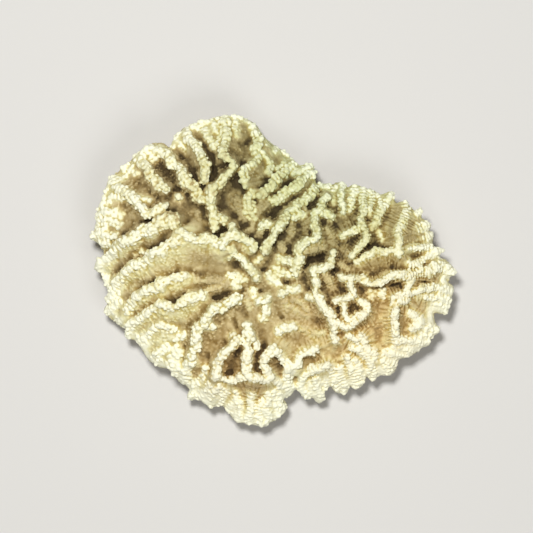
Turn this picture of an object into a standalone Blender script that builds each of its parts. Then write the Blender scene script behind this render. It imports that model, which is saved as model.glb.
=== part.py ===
"""Lettuce coral: one dried colony, a wavy plate of stone on a short stalk that is cut off flat.

The plate carries upright leaf-like walls on its upper side. The colony is modelled whole, then parted at
its main forks into a heart with the stalk and six fans, with a thin gap at each fork.

Units are metres. +Z is up, the cut end of the stalk lies on z = 0 and the origin is the middle of that cut.
+X runs along the colony's longest side and +Y points to the fans at its back.
"""

import math

import bmesh
import bpy
from mathutils import Vector

MM = 0.001

# Driving dimensions
STALK_LENGTH = 62 * MM
STALK_WIDTH = 52 * MM
STALK_TOP = 18 * MM
STALK_WAIST = 0.88
RIM_HEIGHT = 21 * MM
CROWN_HEIGHT = 35 * MM
CROWN_REACH = 46 * MM
RIM_WAVE = 2 * MM
RIM_THICKNESS = 5 * MM
PLATE_BELLY = 10 * MM
TIER_DROP = 6 * MM
TIER_LINE = -48 * MM
TIER_DEPTH = 16 * MM
LEAF_THICKNESS = 4.6 * MM
LEAF_DEPTH = 15 * MM
TIP_SCALE = 0.55
FORK_GAP = 0.3 * MM
GRAIN = 1.35 * MM
TRIANGLES = 7300

# The edge of the plate, anticlockwise from the far right, in millimetres
RIM_MM = [
    (89, 0), (86, 5), (83, 10), (79, 18), (77, 25), (71, 30), (65, 33), (58, 38), (51, 40), (44, 42),
    (36, 44), (29, 43), (22, 44), (19, 50), (12, 54), (4, 60), (-5, 67), (-12, 75), (-22, 77.5), (-33, 75.5),
    (-43, 72), (-49, 66), (-52, 61.5), (-60, 64), (-68, 58), (-76, 50), (-82, 44), (-86, 34), (-88, 24),
    (-89, 17), (-84, 10), (-88, 4), (-84, -1), (-84, -10), (-83, -19), (-77, -26), (-72, -32), (-65, -39),
    (-57, -46), (-48, -53), (-42, -57), (-41, -62), (-33, -67), (-24, -68), (-18, -74), (-8, -77), (0, -73),
    (5, -67), (9, -60), (9, -52), (13, -56), (18, -62.5), (24, -63), (31, -59), (38, -58), (47, -54), (56, -50),
    (63, -45), (70, -41), (76, -36), (81, -30), (82, -22), (88, -15), (89, -7),
]

# Where the colony parts, in millimetres: the ring round the heart, anticlockwise from its front right,
# and from each corner of that ring the way out along the valley between two fans
HEART_RING_MM = [
    (12, -33), (31, -20), (36, -4), (30, 14), (14, 25), (-2, 29), (-34, 30), (-46, 16), (-39, -10), (-22, -30),
]
FORKS_MM = {
    "bottom_right": [(12, -33), (10, -44), (10.5, -52), (10, -60), (12, -100)],
    "right": [(36, -4), (44, -8), (50, -9.5), (57, -7), (64, -4.8), (72, -4.2), (80, -5.6), (120, -5)],
    "top_right": [(-2, 29), (6, 33), (12, 38), (17, 42.5), (21, 45.5), (30, 54), (70, 100)],
    "top_left": [(-34, 30), (-33.5, 37), (-37, 43), (-41, 50), (-46, 57), (-53, 64), (-80, 100)],
    "left": [(-46, 16), (-52, 12.5), (-57, 10.5), (-62, 7.5), (-69, 4.5), (-77, -1), (-84, -1.5), (-120, -4)],
    "bottom_left": [(-22, -30), (-26, -36), (-30, -42), (-32, -47), (-33, -54), (-38, -58.5), (-60, -100)],
}
FANS = {
    "right_fan": ("right", "top_right"),
    "top_fan": ("top_right", "top_left"),
    "upper_left_fan": ("top_left", "left"),
    "lower_left_fan": ("left", "bottom_left"),
    "bottom_fan": ("bottom_left", "bottom_right"),
    "lower_right_fan": ("bottom_right", "right"),
}

# The walls: the way of the crest in millimetres, its height over the valley floor, the height's share at
# its two ends, and its lean in degrees, positive to the left of the way
WALLS_MM = [
    # heart
    ([(-46, 19.5), (-40, 18), (-33, 16.5), (-26, 13.5), (-20.5, 18), (-15, 16.5), (-10, 12)], 11, (1, 0.8), 28),
    ([(-20, 11), (-15, 6), (-9.5, 0), (-8, -4)], 8, (0.8, 0.6), 0),
    ([(15, 35), (10, 30.5), (5.5, 27), (2, 21.5), (-1, 15.5), (-3.5, 10.5)], 9, (0.9, 0.7), 0),
    ([(-31, 32), (-30, 27), (-29, 22)], 9, (1, 0.9), 0),
    ([(26, 37), (23.5, 31), (21, 25), (21, 19), (13, 13.5), (13, 7), (10, 0)], 9, (0.7, 0.7), 0),
    ([(30, 10), (27.5, 3.5), (19.5, 1), (21, -9), (26, -18), (30, -27), (31, -35)], 9, (1, 0.6), 0),
    ([(-6, -14), (-3, -17), (-5, -23)], 6, (0.7, 0.7), 0),
    # upper left fan
    ([(-62, 61.5), (-51, 56), (-44, 46.5), (-35, 37)], 9, (0.35, 0.9), 0),
    ([(-68, 56), (-60, 47.5), (-53, 41)], 9, (0.35, 1), 0),
    ([(-80, 43), (-71.5, 38.5), (-63.5, 30), (-54.5, 32)], 8, (0.35, 0.8), -10),
    ([(-50, 26.5), (-60, 21.5), (-70, 17.5), (-79, 10.5), (-87, 5)], 11, (1, 0.35), -30),
    ([(-87, 29), (-82, 27.5), (-77, 26)], 3.5, (0.7, 0.5), 0),
    # top fan
    ([(-43, 70), (-37, 61), (-33, 53), (-34.5, 45.5)], 9, (0.35, 0.9), 22),
    ([(-35, 73), (-31.5, 66), (-28.5, 60)], 5, (0.5, 0.6), 0),
    ([(-24.5, 75), (-24.5, 66), (-25.5, 60), (-20, 53.5), (-22, 48), (-31, 41), (-31, 33)], 9, (0.35, 1), 0),
    ([(-9, 72), (-8, 66), (-9, 60)], 7, (0.4, 0.8), 0),
    ([(-5, 60), (-9, 55), (-15, 51.5), (-13.5, 45)], 8, (0.6, 0.8), -20),
    ([(-11.5, 39), (-11, 30)], 6, (0.9, 0.5), 0),
    ([(12, 54), (4, 48), (-7, 38.5)], 8, (0.5, 0.7), -22),
    ([(19, 49), (11, 43), (-1, 35.5)], 9, (0.5, 0.7), -25),
    # right fan
    ([(35, 42), (34, 36), (34.5, 30)], 7, (0.5, 0.7), 0),
    ([(46, 41), (44.5, 33), (44.5, 26), (47, 17), (39, 8)], 9, (0.4, 0.8), 0),
    ([(44, 22), (35, 17.5)], 6, (0.9, 0.5), 0),
    ([(58, 37), (54, 30), (50.5, 23)], 6, (0.4, 0.6), 0),
    ([(66, 33), (64.5, 25), (62, 17), (63, 10), (54, 10.5), (45, 7)], 11, (0.35, 0.7), 20),
    ([(77, 25), (65, 18.5)], 6, (0.5, 0.8), 0),
    ([(84, 10.5), (75, 11.5), (66.5, 11)], 6, (0.4, 0.8), 0),
    ([(89, 1), (78, 1), (70, 0), (62, -1), (54, -4.5), (47, -5)], 8, (0.5, 1), 12),
    # lower right fan
    ([(36, -3), (42, -3.5), (39.5, -10), (31.5, -14.5)], 8, (0.8, 0.7), 0),
    ([(45, -15), (45.5, -21), (38, -27), (31, -25.5)], 8, (0.8, 0.9), 0),
    ([(88, -9), (78, -8), (66, -11), (60, -14)], 6, (0.5, 0.8), 0),
    ([(60.5, -19), (61.5, -28), (61, -37)], 7, (0.9, 0.6), 0),
    ([(81, -28), (74, -26), (69, -20.5)], 6, (0.5, 0.8), 0),
    ([(76, -35), (66, -35), (56, -41)], 5, (0.5, 0.8), 0),
    ([(50, -52), (48.5, -44), (44, -34)], 6, (0.4, 0.8), 0),
    ([(43, -54), (40, -47), (37.5, -40)], 6, (0.4, 0.8), 0),
    ([(27, -46), (18, -50.5), (14, -56), (17, -61)], 7, (0.8, 0.5), 0),
    ([(22, -53), (23.5, -62.5)], 5, (0.8, 0.5), 0),
    # bottom fan
    ([(21, -39), (12, -45), (8.5, -48.5), (4, -43), (-1, -39), (-4.5, -45), (-5, -51)], 9, (0.7, 0.9), -20),
    ([(-17, -33), (-23, -40), (-28.5, -51)], 8, (0.8, 0.8), 0),
    ([(-13, -27), (-12.5, -35), (-13, -49)], 8, (0.8, 0.9), 0),
    ([(-27, -53), (-18, -53.5), (-10, -52), (-1, -53)], 7, (0.8, 0.8), 0),
    ([(-33, -65), (-26, -57)], 5, (0.4, 0.8), 0),
    ([(-16, -72), (-15, -65)], 4, (0.4, 0.8), 0),
    ([(-3, -73), (-2.5, -63)], 4, (0.4, 0.8), 0),
    # lower left fan
    ([(-47, 18.5), (-54, 12.5), (-66, 5), (-77, -3), (-81, -12)], 11, (1, 0.4), -32),
    ([(-43, -1), (-55, -5), (-66, -10.5), (-72, -20)], 10, (0.7, 0.45), -28),
    ([(-36, -12), (-47, -16), (-58, -17), (-66, -23), (-72, -30)], 9, (0.8, 0.4), -24),
    ([(-49, -29), (-57, -26.5), (-66, -34)], 6, (0.7, 0.4), -20),
    ([(-48, -39), (-51, -49)], 5, (0.7, 0.5), 0),
    ([(-18, -13), (-30, -19), (-36, -27), (-40, -41), (-44, -53)], 9, (0.7, 0.4), 0),
]


def clear_scene():
    for obj in list(bpy.data.objects):
        bpy.data.objects.remove(obj)


def new_collection(name):
    collection = bpy.data.collections.new(name)
    bpy.context.scene.collection.children.link(collection)
    return collection


def metres(points_mm):
    return [Vector((x * MM, y * MM, 0)) for x, y in points_mm]


def aragonite(name, colour):
    """Bleached skeleton, matt and chalky."""
    material = bpy.data.materials.new(name)
    material.use_nodes = True
    shader = material.node_tree.nodes["Principled BSDF"]
    shader.inputs["Base Color"].default_value = colour
    shader.inputs["Roughness"].default_value = 0.85
    shader.inputs["Metallic"].default_value = 0
    return material


def depth_from_rim(point, rim):
    """How far a point is inside the edge of the plate."""
    flat = Vector((point.x, point.y, 0))
    nearest = RIM_HEIGHT + CROWN_REACH
    for start, end in zip(rim, rim[1:] + rim[:1]):
        along = end - start
        share = min(max((flat - start).dot(along) / along.length_squared, 0), 1)
        nearest = min(nearest, (flat - start - along * share).length)
    return nearest


def rim_lift(point, inside):
    """How the edge rises and falls on its way round, and drops to the lower tier at the front."""
    around = math.atan2(point.y, point.x)
    wave = RIM_WAVE * (math.sin(3 * around + 0.6) + 0.5 * math.sin(7 * around))
    down = min(max((TIER_LINE - point.y) / TIER_DEPTH, 0), 1)
    return wave * (1 - min(inside / CROWN_REACH, 1)) - TIER_DROP * down


def floor_height(point, rim):
    """Height of the valley floors: a low dome that falls away to the rim."""
    inside = depth_from_rim(point, rim)
    share = min(inside / CROWN_REACH, 1)
    dome = (CROWN_HEIGHT - RIM_HEIGHT) * (1 - (1 - share) ** 2)
    return RIM_HEIGHT + rim_lift(point, inside) + dome


def underside_height(point, rim):
    """The plate's lower face: a shallow bowl."""
    inside = depth_from_rim(point, rim)
    share = min(inside / CROWN_REACH, 1)
    bowl = PLATE_BELLY * math.sin(share * math.pi / 2)
    return RIM_HEIGHT + rim_lift(point, inside) - RIM_THICKNESS - bowl


def mesh_object(name, source, collection):
    """The evaluated shape of an object as a plain mesh object, which takes the source's place."""
    graph = bpy.context.evaluated_depsgraph_get()
    mesh = bpy.data.meshes.new_from_object(source.evaluated_get(graph))
    made = bpy.data.objects.new(name, mesh)
    made.matrix_world = source.matrix_world
    collection.objects.link(made)
    bpy.data.objects.remove(source)
    return made


def flat_shape(name, outline, height, collection):
    """A filled outline of the given height, standing on z = 0."""
    curve = bpy.data.curves.new(name, "CURVE")
    curve.dimensions = "2D"
    curve.fill_mode = "BOTH"
    curve.extrude = height / 2
    spline = curve.splines.new("POLY")
    spline.points.add(len(outline) - 1)
    for point, place in zip(spline.points, outline):
        point.co = (place.x, place.y, 0, 1)
    spline.use_cyclic_u = True
    shape = bpy.data.objects.new(name, curve)
    shape.location.z = height / 2
    collection.objects.link(shape)
    bpy.context.view_layer.update()
    shape = mesh_object(name, shape, collection)
    shape.data.transform(shape.matrix_world)
    shape.matrix_world.identity()
    edit = bmesh.new()
    edit.from_mesh(shape.data)
    bmesh.ops.remove_doubles(edit, verts=edit.verts, dist=0.01 * MM)
    bmesh.ops.recalc_face_normals(edit, faces=edit.faces)
    edit.to_mesh(shape.data)
    edit.free()
    return shape


def remeshed(obj, size, collection):
    """The same solid in even faces of one size."""
    grain = obj.modifiers.new("even faces", "REMESH")
    grain.mode = "VOXEL"
    grain.voxel_size = size
    return mesh_object(obj.name, obj, collection)


def plate(rim, collection):
    """The wavy plate: a slab in the colony's outline, bent to the dome above and the bowl below."""
    slab_height = 10 * MM
    slab = remeshed(flat_shape("plate", rim, slab_height, collection), 2.5 * MM, collection)
    for vertex in slab.data.vertices:
        low = underside_height(vertex.co, rim)
        high = floor_height(vertex.co, rim)
        vertex.co.z = low + (high - low) * vertex.co.z / slab_height
    return slab


def stalk(collection):
    """The stalk that the colony grew on, wider at its foot."""
    below = 3 * MM
    bpy.ops.mesh.primitive_cone_add(
        vertices=40,
        radius1=0.5,
        radius2=STALK_WAIST / 2,
        depth=1,
        location=(0, 0, STALK_TOP / 2 - below),
        scale=(STALK_LENGTH, STALK_WIDTH, STALK_TOP),
    )
    made = bpy.context.object
    made.name = "stalk"
    for home in list(made.users_collection):
        home.objects.unlink(made)
    collection.objects.link(made)
    return made


def wall_profile(collection):
    """Cross-section of a wall: tall, thin, round at its crest and foot."""
    curve = bpy.data.curves.new("wall profile", "CURVE")
    curve.dimensions = "2D"
    spline = curve.splines.new("POLY")
    steps = 5
    radius = LEAF_THICKNESS / 2
    straight = LEAF_DEPTH / 2 - radius
    places = []
    for end in (1, -1):
        for step in range(steps):
            turn = math.pi * step / (steps - 1)
            places.append((end * radius * math.cos(turn), end * (straight + radius * math.sin(turn))))
    spline.points.add(len(places) - 1)
    for point, (across, up) in zip(spline.points, places):
        point.co = (across, up, 0, 1)
    spline.use_cyclic_u = True
    profile = bpy.data.objects.new("wall profile", curve)
    profile.hide_render = True
    collection.objects.link(profile)
    return profile


def wall(number, crest, height, ends, lean, rim, profile, collection):
    """One leaf-like wall. Its crest follows the given way at the given height over the valley floor."""
    curve = bpy.data.curves.new(f"wall {number}", "CURVE")
    curve.dimensions = "3D"
    curve.twist_mode = "Z_UP"
    curve.bevel_mode = "OBJECT"
    curve.bevel_object = profile
    curve.use_fill_caps = True
    spline = curve.splines.new("NURBS")
    spline.points.add(len(crest) - 1)
    spline.use_endpoint_u = True
    spline.order_u = 3
    spline.resolution_u = 3
    last = len(crest) - 1
    for index, place in enumerate(crest):
        before = crest[max(index - 1, 0)]
        after = crest[min(index + 1, last)]
        way = (after - before).normalized()
        left = Vector((-way.y, way.x, 0))
        near_end = min(index, last - index)
        share = 1
        if near_end == 0:
            share = ends[0] if index == 0 else ends[1]
        size = TIP_SCALE + (1 - TIP_SCALE) * share
        up = Vector((0, 0, math.cos(lean))) + left * math.sin(lean)
        top = Vector((place.x, place.y, floor_height(place, rim) + height * share))
        spline.points[index].co = (*(top - up * LEAF_DEPTH * size / 2), 1)
        spline.points[index].radius = size
        spline.points[index].tilt = -lean
    made = bpy.data.objects.new(f"wall {number}", curve)
    collection.objects.link(made)
    bpy.context.view_layer.update()
    return mesh_object(made.name, made, collection)


def joined(name, parts, collection):
    """Several shapes in one mesh, still overlapping."""
    whole = bmesh.new()
    for part in parts:
        part.data.transform(part.matrix_world)
        whole.from_mesh(part.data)
        bpy.data.objects.remove(part)
    bmesh.ops.remove_doubles(whole, verts=whole.verts, dist=0.001 * MM)
    mesh = bpy.data.meshes.new(name)
    whole.to_mesh(mesh)
    whole.free()
    made = bpy.data.objects.new(name, mesh)
    collection.objects.link(made)
    return made


def colony(rim, helpers):
    """The whole coral as one closed solid, still with a round foot under the table line."""
    profile = wall_profile(helpers)
    shapes = [plate(rim, helpers), stalk(helpers)]
    for number, (crest_mm, height, ends, lean) in enumerate(WALLS_MM):
        crest = metres(crest_mm)
        shapes.append(wall(number, crest, height * MM, ends, math.radians(lean), rim, profile, helpers))
    bpy.context.view_layer.update()
    whole = remeshed(joined("colony", shapes, helpers), GRAIN, helpers)
    soften = whole.modifiers.new("soften", "SMOOTH")
    soften.iterations = 2
    fewer = whole.modifiers.new("fewer faces", "DECIMATE")
    whole.data.calc_loop_triangles()
    fewer.ratio = TRIANGLES / len(whole.data.loop_triangles)
    return mesh_object("colony", whole, helpers)


def fan_outline(first, second):
    """The ground between two fork lines, outside the ring round the heart."""
    way_out = FORKS_MM[first]
    way_back = FORKS_MM[second][::-1]
    start = HEART_RING_MM.index(way_back[-1])
    end = HEART_RING_MM.index(way_out[0])
    between = []
    while start != end:
        start = (start - 1) % len(HEART_RING_MM)
        if start != end:
            between.append(HEART_RING_MM[start])
    return metres(way_out + way_back + between)


def drawn_in(outline, by):
    """The outline with every side moved inwards."""
    moved = []
    count = len(outline)
    area = sum(outline[i - 1].cross(outline[i]).z for i in range(count)) / 2
    turn = 1 if area > 0 else -1
    for index, place in enumerate(outline):
        before = (place - outline[index - 1]).normalized()
        after = (outline[(index + 1) % count] - place).normalized()
        inward_before = Vector((-before.y, before.x, 0)) * turn
        inward_after = Vector((-after.y, after.x, 0)) * turn
        corner = (inward_before + inward_after).normalized()
        moved.append(place + corner * by / max(corner.dot(inward_before), 0.3))
    return moved


def largest_body(mesh):
    """Drops chips that a cut left loose: keeps the body with the most faces."""
    edit = bmesh.new()
    edit.from_mesh(mesh)
    unseen = set(edit.verts)
    bodies = []
    while unseen:
        body = set()
        edge_of_body = {unseen.pop()}
        while edge_of_body:
            vertex = edge_of_body.pop()
            body.add(vertex)
            for edge in vertex.link_edges:
                other = edge.other_vert(vertex)
                if other in unseen:
                    unseen.discard(other)
                    edge_of_body.add(other)
        bodies.append(body)
    keep = max(bodies, key=len)
    chips = [vertex for body in bodies if body is not keep for vertex in body]
    bmesh.ops.delete(edit, geom=chips, context="VERTS")
    edit.to_mesh(mesh)
    edit.free()


def cut_to(name, whole, outline, material, parts, cutters):
    """The share of the colony that stands on one outline, cut flat at the table line."""
    cutter = flat_shape(f"ground of {name}", drawn_in(outline, FORK_GAP / 2), 80 * MM, cutters)
    cutter.hide_render = True
    cutter.display_type = "WIRE"
    piece = bpy.data.objects.new(name, whole.data.copy())
    parts.objects.link(piece)
    common = piece.modifiers.new("ground", "BOOLEAN")
    common.operation = "INTERSECT"
    common.object = cutter
    bpy.context.view_layer.update()
    graph = bpy.context.evaluated_depsgraph_get()
    mesh = bpy.data.meshes.new_from_object(piece.evaluated_get(graph))
    piece.modifiers.remove(common)
    piece.data = mesh
    largest_body(mesh)
    mesh.shade_smooth()
    mesh.set_sharp_from_angle(angle=math.radians(50))
    mesh.materials.clear()
    mesh.materials.append(material)


def build():
    clear_scene()
    parts = new_collection("lettuce coral")
    helpers = new_collection("helpers")
    cutters = new_collection("cutters")
    whole = colony(metres(RIM_MM), helpers)
    cream = aragonite("bleached coral", (0.80, 0.72, 0.52, 1))
    cut_to("heart", whole, metres(HEART_RING_MM), cream, parts, cutters)
    for name, (first, second) in FANS.items():
        cut_to(name, whole, fan_outline(first, second), cream, parts, cutters)
    for helper in list(helpers.objects):
        bpy.data.objects.remove(helper)
    bpy.data.collections.remove(helpers)


build()
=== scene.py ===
import math

import bpy
import numpy as np
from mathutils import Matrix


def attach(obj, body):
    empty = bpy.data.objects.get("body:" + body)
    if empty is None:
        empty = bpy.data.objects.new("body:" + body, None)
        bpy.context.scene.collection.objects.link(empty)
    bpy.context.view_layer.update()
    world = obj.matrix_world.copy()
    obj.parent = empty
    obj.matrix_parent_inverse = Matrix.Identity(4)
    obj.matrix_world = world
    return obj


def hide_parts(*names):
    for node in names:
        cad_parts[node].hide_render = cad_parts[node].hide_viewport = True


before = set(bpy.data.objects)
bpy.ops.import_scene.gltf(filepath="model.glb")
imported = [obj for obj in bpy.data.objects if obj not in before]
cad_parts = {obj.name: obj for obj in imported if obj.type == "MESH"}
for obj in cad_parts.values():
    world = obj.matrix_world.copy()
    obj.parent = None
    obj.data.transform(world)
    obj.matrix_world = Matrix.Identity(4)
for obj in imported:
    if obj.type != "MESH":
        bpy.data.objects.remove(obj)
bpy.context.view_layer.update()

import openvdb


# Plate and stalk: the ground that the colony laid down first, one wavy plate of aragonite on the short
# stalk that held it to the rock. Everything else grows on it. The skeleton is built up as a volume of
# distances to its surface, in millimetres, negative inside the stone, and turned to meshes at the end.

GRAIN = 0.42
VOLUME_LOW = (-94, -81, -1.2)
VOLUME_SIZE = (188, 162.5, 50.5)
STALK_HALF_LENGTH = 31
STALK_HALF_WIDTH = 26
STALK_WAIST = 0.88
STALK_TOP = 15
CORNER_BLEND = 2
RIM_HEIGHT = 21
CROWN_HEIGHT = 35
CROWN_REACH = 46
RIM_WAVE = 2
RIM_THICKNESS = 5
PLATE_BELLY = 10
TIER_DROP = 6
TIER_LINE = -48
TIER_DEPTH = 16
UNDER_RIB_WIDTH = 2.4
UNDER_RIB_RADIUS = 60
UNDER_RIB_DEPTH = 0.28
GROWTH_RING_WIDTH = 6
GROWTH_RING_DEPTH = 0.35

# The plate's rough edge, anticlockwise, sets the height of the dome
DOME_EDGE = [
    (89, 0), (86, 5), (83, 10), (79, 18), (77, 25), (71, 30), (65, 33), (58, 38), (51, 40),
    (44, 42), (36, 44), (29, 43), (22, 44), (19, 50), (12, 54), (4, 60), (-5, 67), (-12, 75),
    (-22, 77.5), (-33, 75.5), (-43, 72), (-49, 66), (-52, 61.5), (-60, 64), (-68, 58), (-76, 50),
    (-82, 44), (-86, 34), (-88, 24), (-89, 17), (-84, 10), (-88, 4), (-84, -1), (-84, -10),
    (-83, -19), (-77, -26), (-72, -32), (-65, -39), (-57, -46), (-48, -53), (-42, -57), (-41, -62),
    (-33, -67), (-24, -68), (-18, -74), (-8, -77), (0, -73), (5, -67), (9, -60), (9, -52),
    (13, -56), (18, -62.5), (24, -63), (31, -59), (38, -58), (47, -54), (56, -50), (63, -45),
    (70, -41), (76, -36), (81, -30), (82, -22), (88, -15), (89, -7),
]

steps = [round(size / GRAIN) for size in VOLUME_SIZE]
axes = [low + GRAIN * np.arange(n, dtype=np.float32) for low, n in zip(VOLUME_LOW, steps)]
ground_x = axes[0][:, None]
ground_y = axes[1][None, :]
up = axes[2][None, None, :]


def depth_inside(outline, x, y):
    """How far each point lies inside a closed outline. Outside it is negative."""
    nearest = np.full(np.broadcast(x, y).shape, np.inf, np.float32)
    inside = np.zeros(nearest.shape, bool)
    for (ax, ay), (bx, by) in zip(outline, outline[1:] + outline[:1]):
        dx, dy = bx - ax, by - ay
        share = np.clip(((x - ax) * dx + (y - ay) * dy) / (dx * dx + dy * dy), 0, 1)
        nearest = np.minimum(nearest, (x - ax - share * dx) ** 2 + (y - ay - share * dy) ** 2)
        if dy:
            inside ^= ((y >= ay) != (y >= by)) & (x < ax + (y - ay) * dx / dy)
    return np.where(inside, 1, -1).astype(np.float32) * np.sqrt(nearest)


def smooth_min(a, b, blend):
    """Joins two shapes, with a fillet of about the given size."""
    near = np.maximum(blend - np.abs(a - b), 0)
    return np.minimum(a, b) - near * near / (4 * blend)


def smooth_max(a, b, blend):
    """What two shapes share, with its edge rounded."""
    return -smooth_min(-a, -b, blend)


def steepness(heights):
    """Turns a height difference over a sloping ground into a distance from it."""
    rise_x, rise_y = np.gradient(heights, GRAIN)
    return np.sqrt(1 + rise_x**2 + rise_y**2).astype(np.float32)


# The rim rises and falls on the way round, and the tier at the bottom sits lower
inside = np.maximum(depth_inside(DOME_EDGE, ground_x, ground_y), 0)
share = np.minimum(inside / CROWN_REACH, 1)
around = np.arctan2(ground_y, ground_x)
wave = RIM_WAVE * (np.sin(3 * around + 0.6) + 0.5 * np.sin(7 * around)) * (1 - share)
tier = TIER_DROP * np.clip((TIER_LINE - ground_y) / TIER_DEPTH, 0, 1)
rim = RIM_HEIGHT + wave - tier
floor = (rim + (CROWN_HEIGHT - RIM_HEIGHT) * (1 - (1 - share) ** 2)).astype(np.float32)
belly = (rim - RIM_THICKNESS - PLATE_BELLY * np.sin(share * math.pi / 2)).astype(np.float32)
rays = UNDER_RIB_DEPTH * np.cos(around * math.pi * UNDER_RIB_RADIUS / UNDER_RIB_WIDTH)
rings = GROWTH_RING_DEPTH * np.sin(inside * 2 * math.pi / GROWTH_RING_WIDTH + 2 * np.sin(3 * around))
ribbed_belly = (belly + (rays + rings) * np.clip(1 - share, 0, 1)).astype(np.float32)
below_belly = (ribbed_belly[:, :, None] - up) / steepness(belly)[:, :, None]
narrowing = 1 - (1 - STALK_WAIST) * np.clip(up / STALK_TOP, 0, 1)
stalk = np.sqrt((ground_x / STALK_HALF_LENGTH) ** 2 + (ground_y / STALK_HALF_WIDTH) ** 2)[:, :, None]
stalk = smooth_max((stalk - narrowing) * STALK_HALF_WIDTH, up - STALK_TOP, CORNER_BLEND)


# Walls: the leaf-like ridges that stand on the plate, each a row of septa side by side, thickest at the
# crest, where every septum ends in a bead, and flared at the foot. Each grew up from the valley floor, and
# they are fused where they meet.

SEPTUM_PITCH = 1.65
BEAD_PROUD = 0.75
STEEPEST_SIDE = 0.3
GENTLEST_SIDE = 1.1
WALL_STEP = 1.3
STEPS_AT_A_TIME = 4
FOOT_FILLET = 4
WALL_FILLET = 1.5
STAIN_OF_DULL = 5
END_FAN = 1.6
FLANK_CHANCE = 0.2
THINNEST = 0.5
DEEPEST_FOOT = 18
NO_WALL = 10
NO_CREST = 14
# How a wall strays along its way: the millimetres between turns, and how far. A swell is a share of its
# width, a long rise a share of its height
SWAY = (3.2, 0.85)
SWELL_EVERY = 2.8
SWELL = 0.45
LONG_SWELL = (7, 0.25)
LONG_RISE = (9, 0.15)
RISE = (5, 0.8)
NOTCHES = (2, 0.35)

wall_distance = np.full(steps, NO_WALL, np.float32)
crest_distance = np.full(steps, NO_CREST, np.float32)
septum_phase = np.zeros(steps, np.float32)
rival = np.full(steps, NO_WALL, np.float32)
owner = np.full(steps, -1, np.int16)
walls_grown = []


def smooth_way(points, step):
    """A smooth curve through the points, in even steps, and how far along it each step is."""
    given = np.array(points, float)
    given = np.vstack((2 * given[0] - given[1], given, 2 * given[-1] - given[-2]))
    t = np.linspace(0, 1, 12, endpoint=False)[:, None]
    curve = []
    for a, b, c, d in zip(given, given[1:], given[2:], given[3:]):
        bend = (2 * a - 5 * b + 4 * c - d) * t**2 + (3 * b - a - 3 * c + d) * t**3
        curve.append(b + 0.5 * ((c - a) * t + bend))
    curve = np.vstack(curve + [given[-2:-1]])
    gone = np.concatenate(([0], np.cumsum(np.hypot(*np.diff(curve, axis=0).T))))
    even = np.linspace(0, gone[-1], max(round(gone[-1] / step), 2) + 1)
    return np.column_stack([np.interp(even, gone, curve[:, axis]) for axis in (0, 1)]), even


def spread(values, shares):
    """A row of values passed through evenly from 0 to 1."""
    values = np.atleast_1d(values)
    return np.interp(shares, np.linspace(0, 1, len(values)), values)


def wobble(chance, gone, period, amount):
    """Small random swings along a wall."""
    places = np.arange(0, gone[-1] + 2 * period, period)
    return amount * np.interp(gone, places, chance.uniform(-1, 1, len(places)))


def leftwards(way):
    """The unit step to the left of the way, at each of its points."""
    ahead = np.gradient(way, axis=0)
    ahead /= np.hypot(*ahead.T)[:, None]
    return np.column_stack((-ahead[:, 1], ahead[:, 0]))


def ground_cell(places):
    """The volume's column under each place."""
    cells = np.round((places - np.array(VOLUME_LOW[:2])) / GRAIN).astype(int)
    return np.clip(cells[:, 0], 0, steps[0] - 1), np.clip(cells[:, 1], 0, steps[1] - 1)


def window(lows, highs):
    """The block of the volume between two corners."""
    cuts = []
    for low, high, start, n in zip(lows, highs, VOLUME_LOW, steps):
        first = min(max(int((low - start) / GRAIN), 0), n - 1)
        cuts.append(slice(first, min(max(int((high - start) / GRAIN) + 2, first + 1), n)))
    return tuple(cuts)


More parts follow.
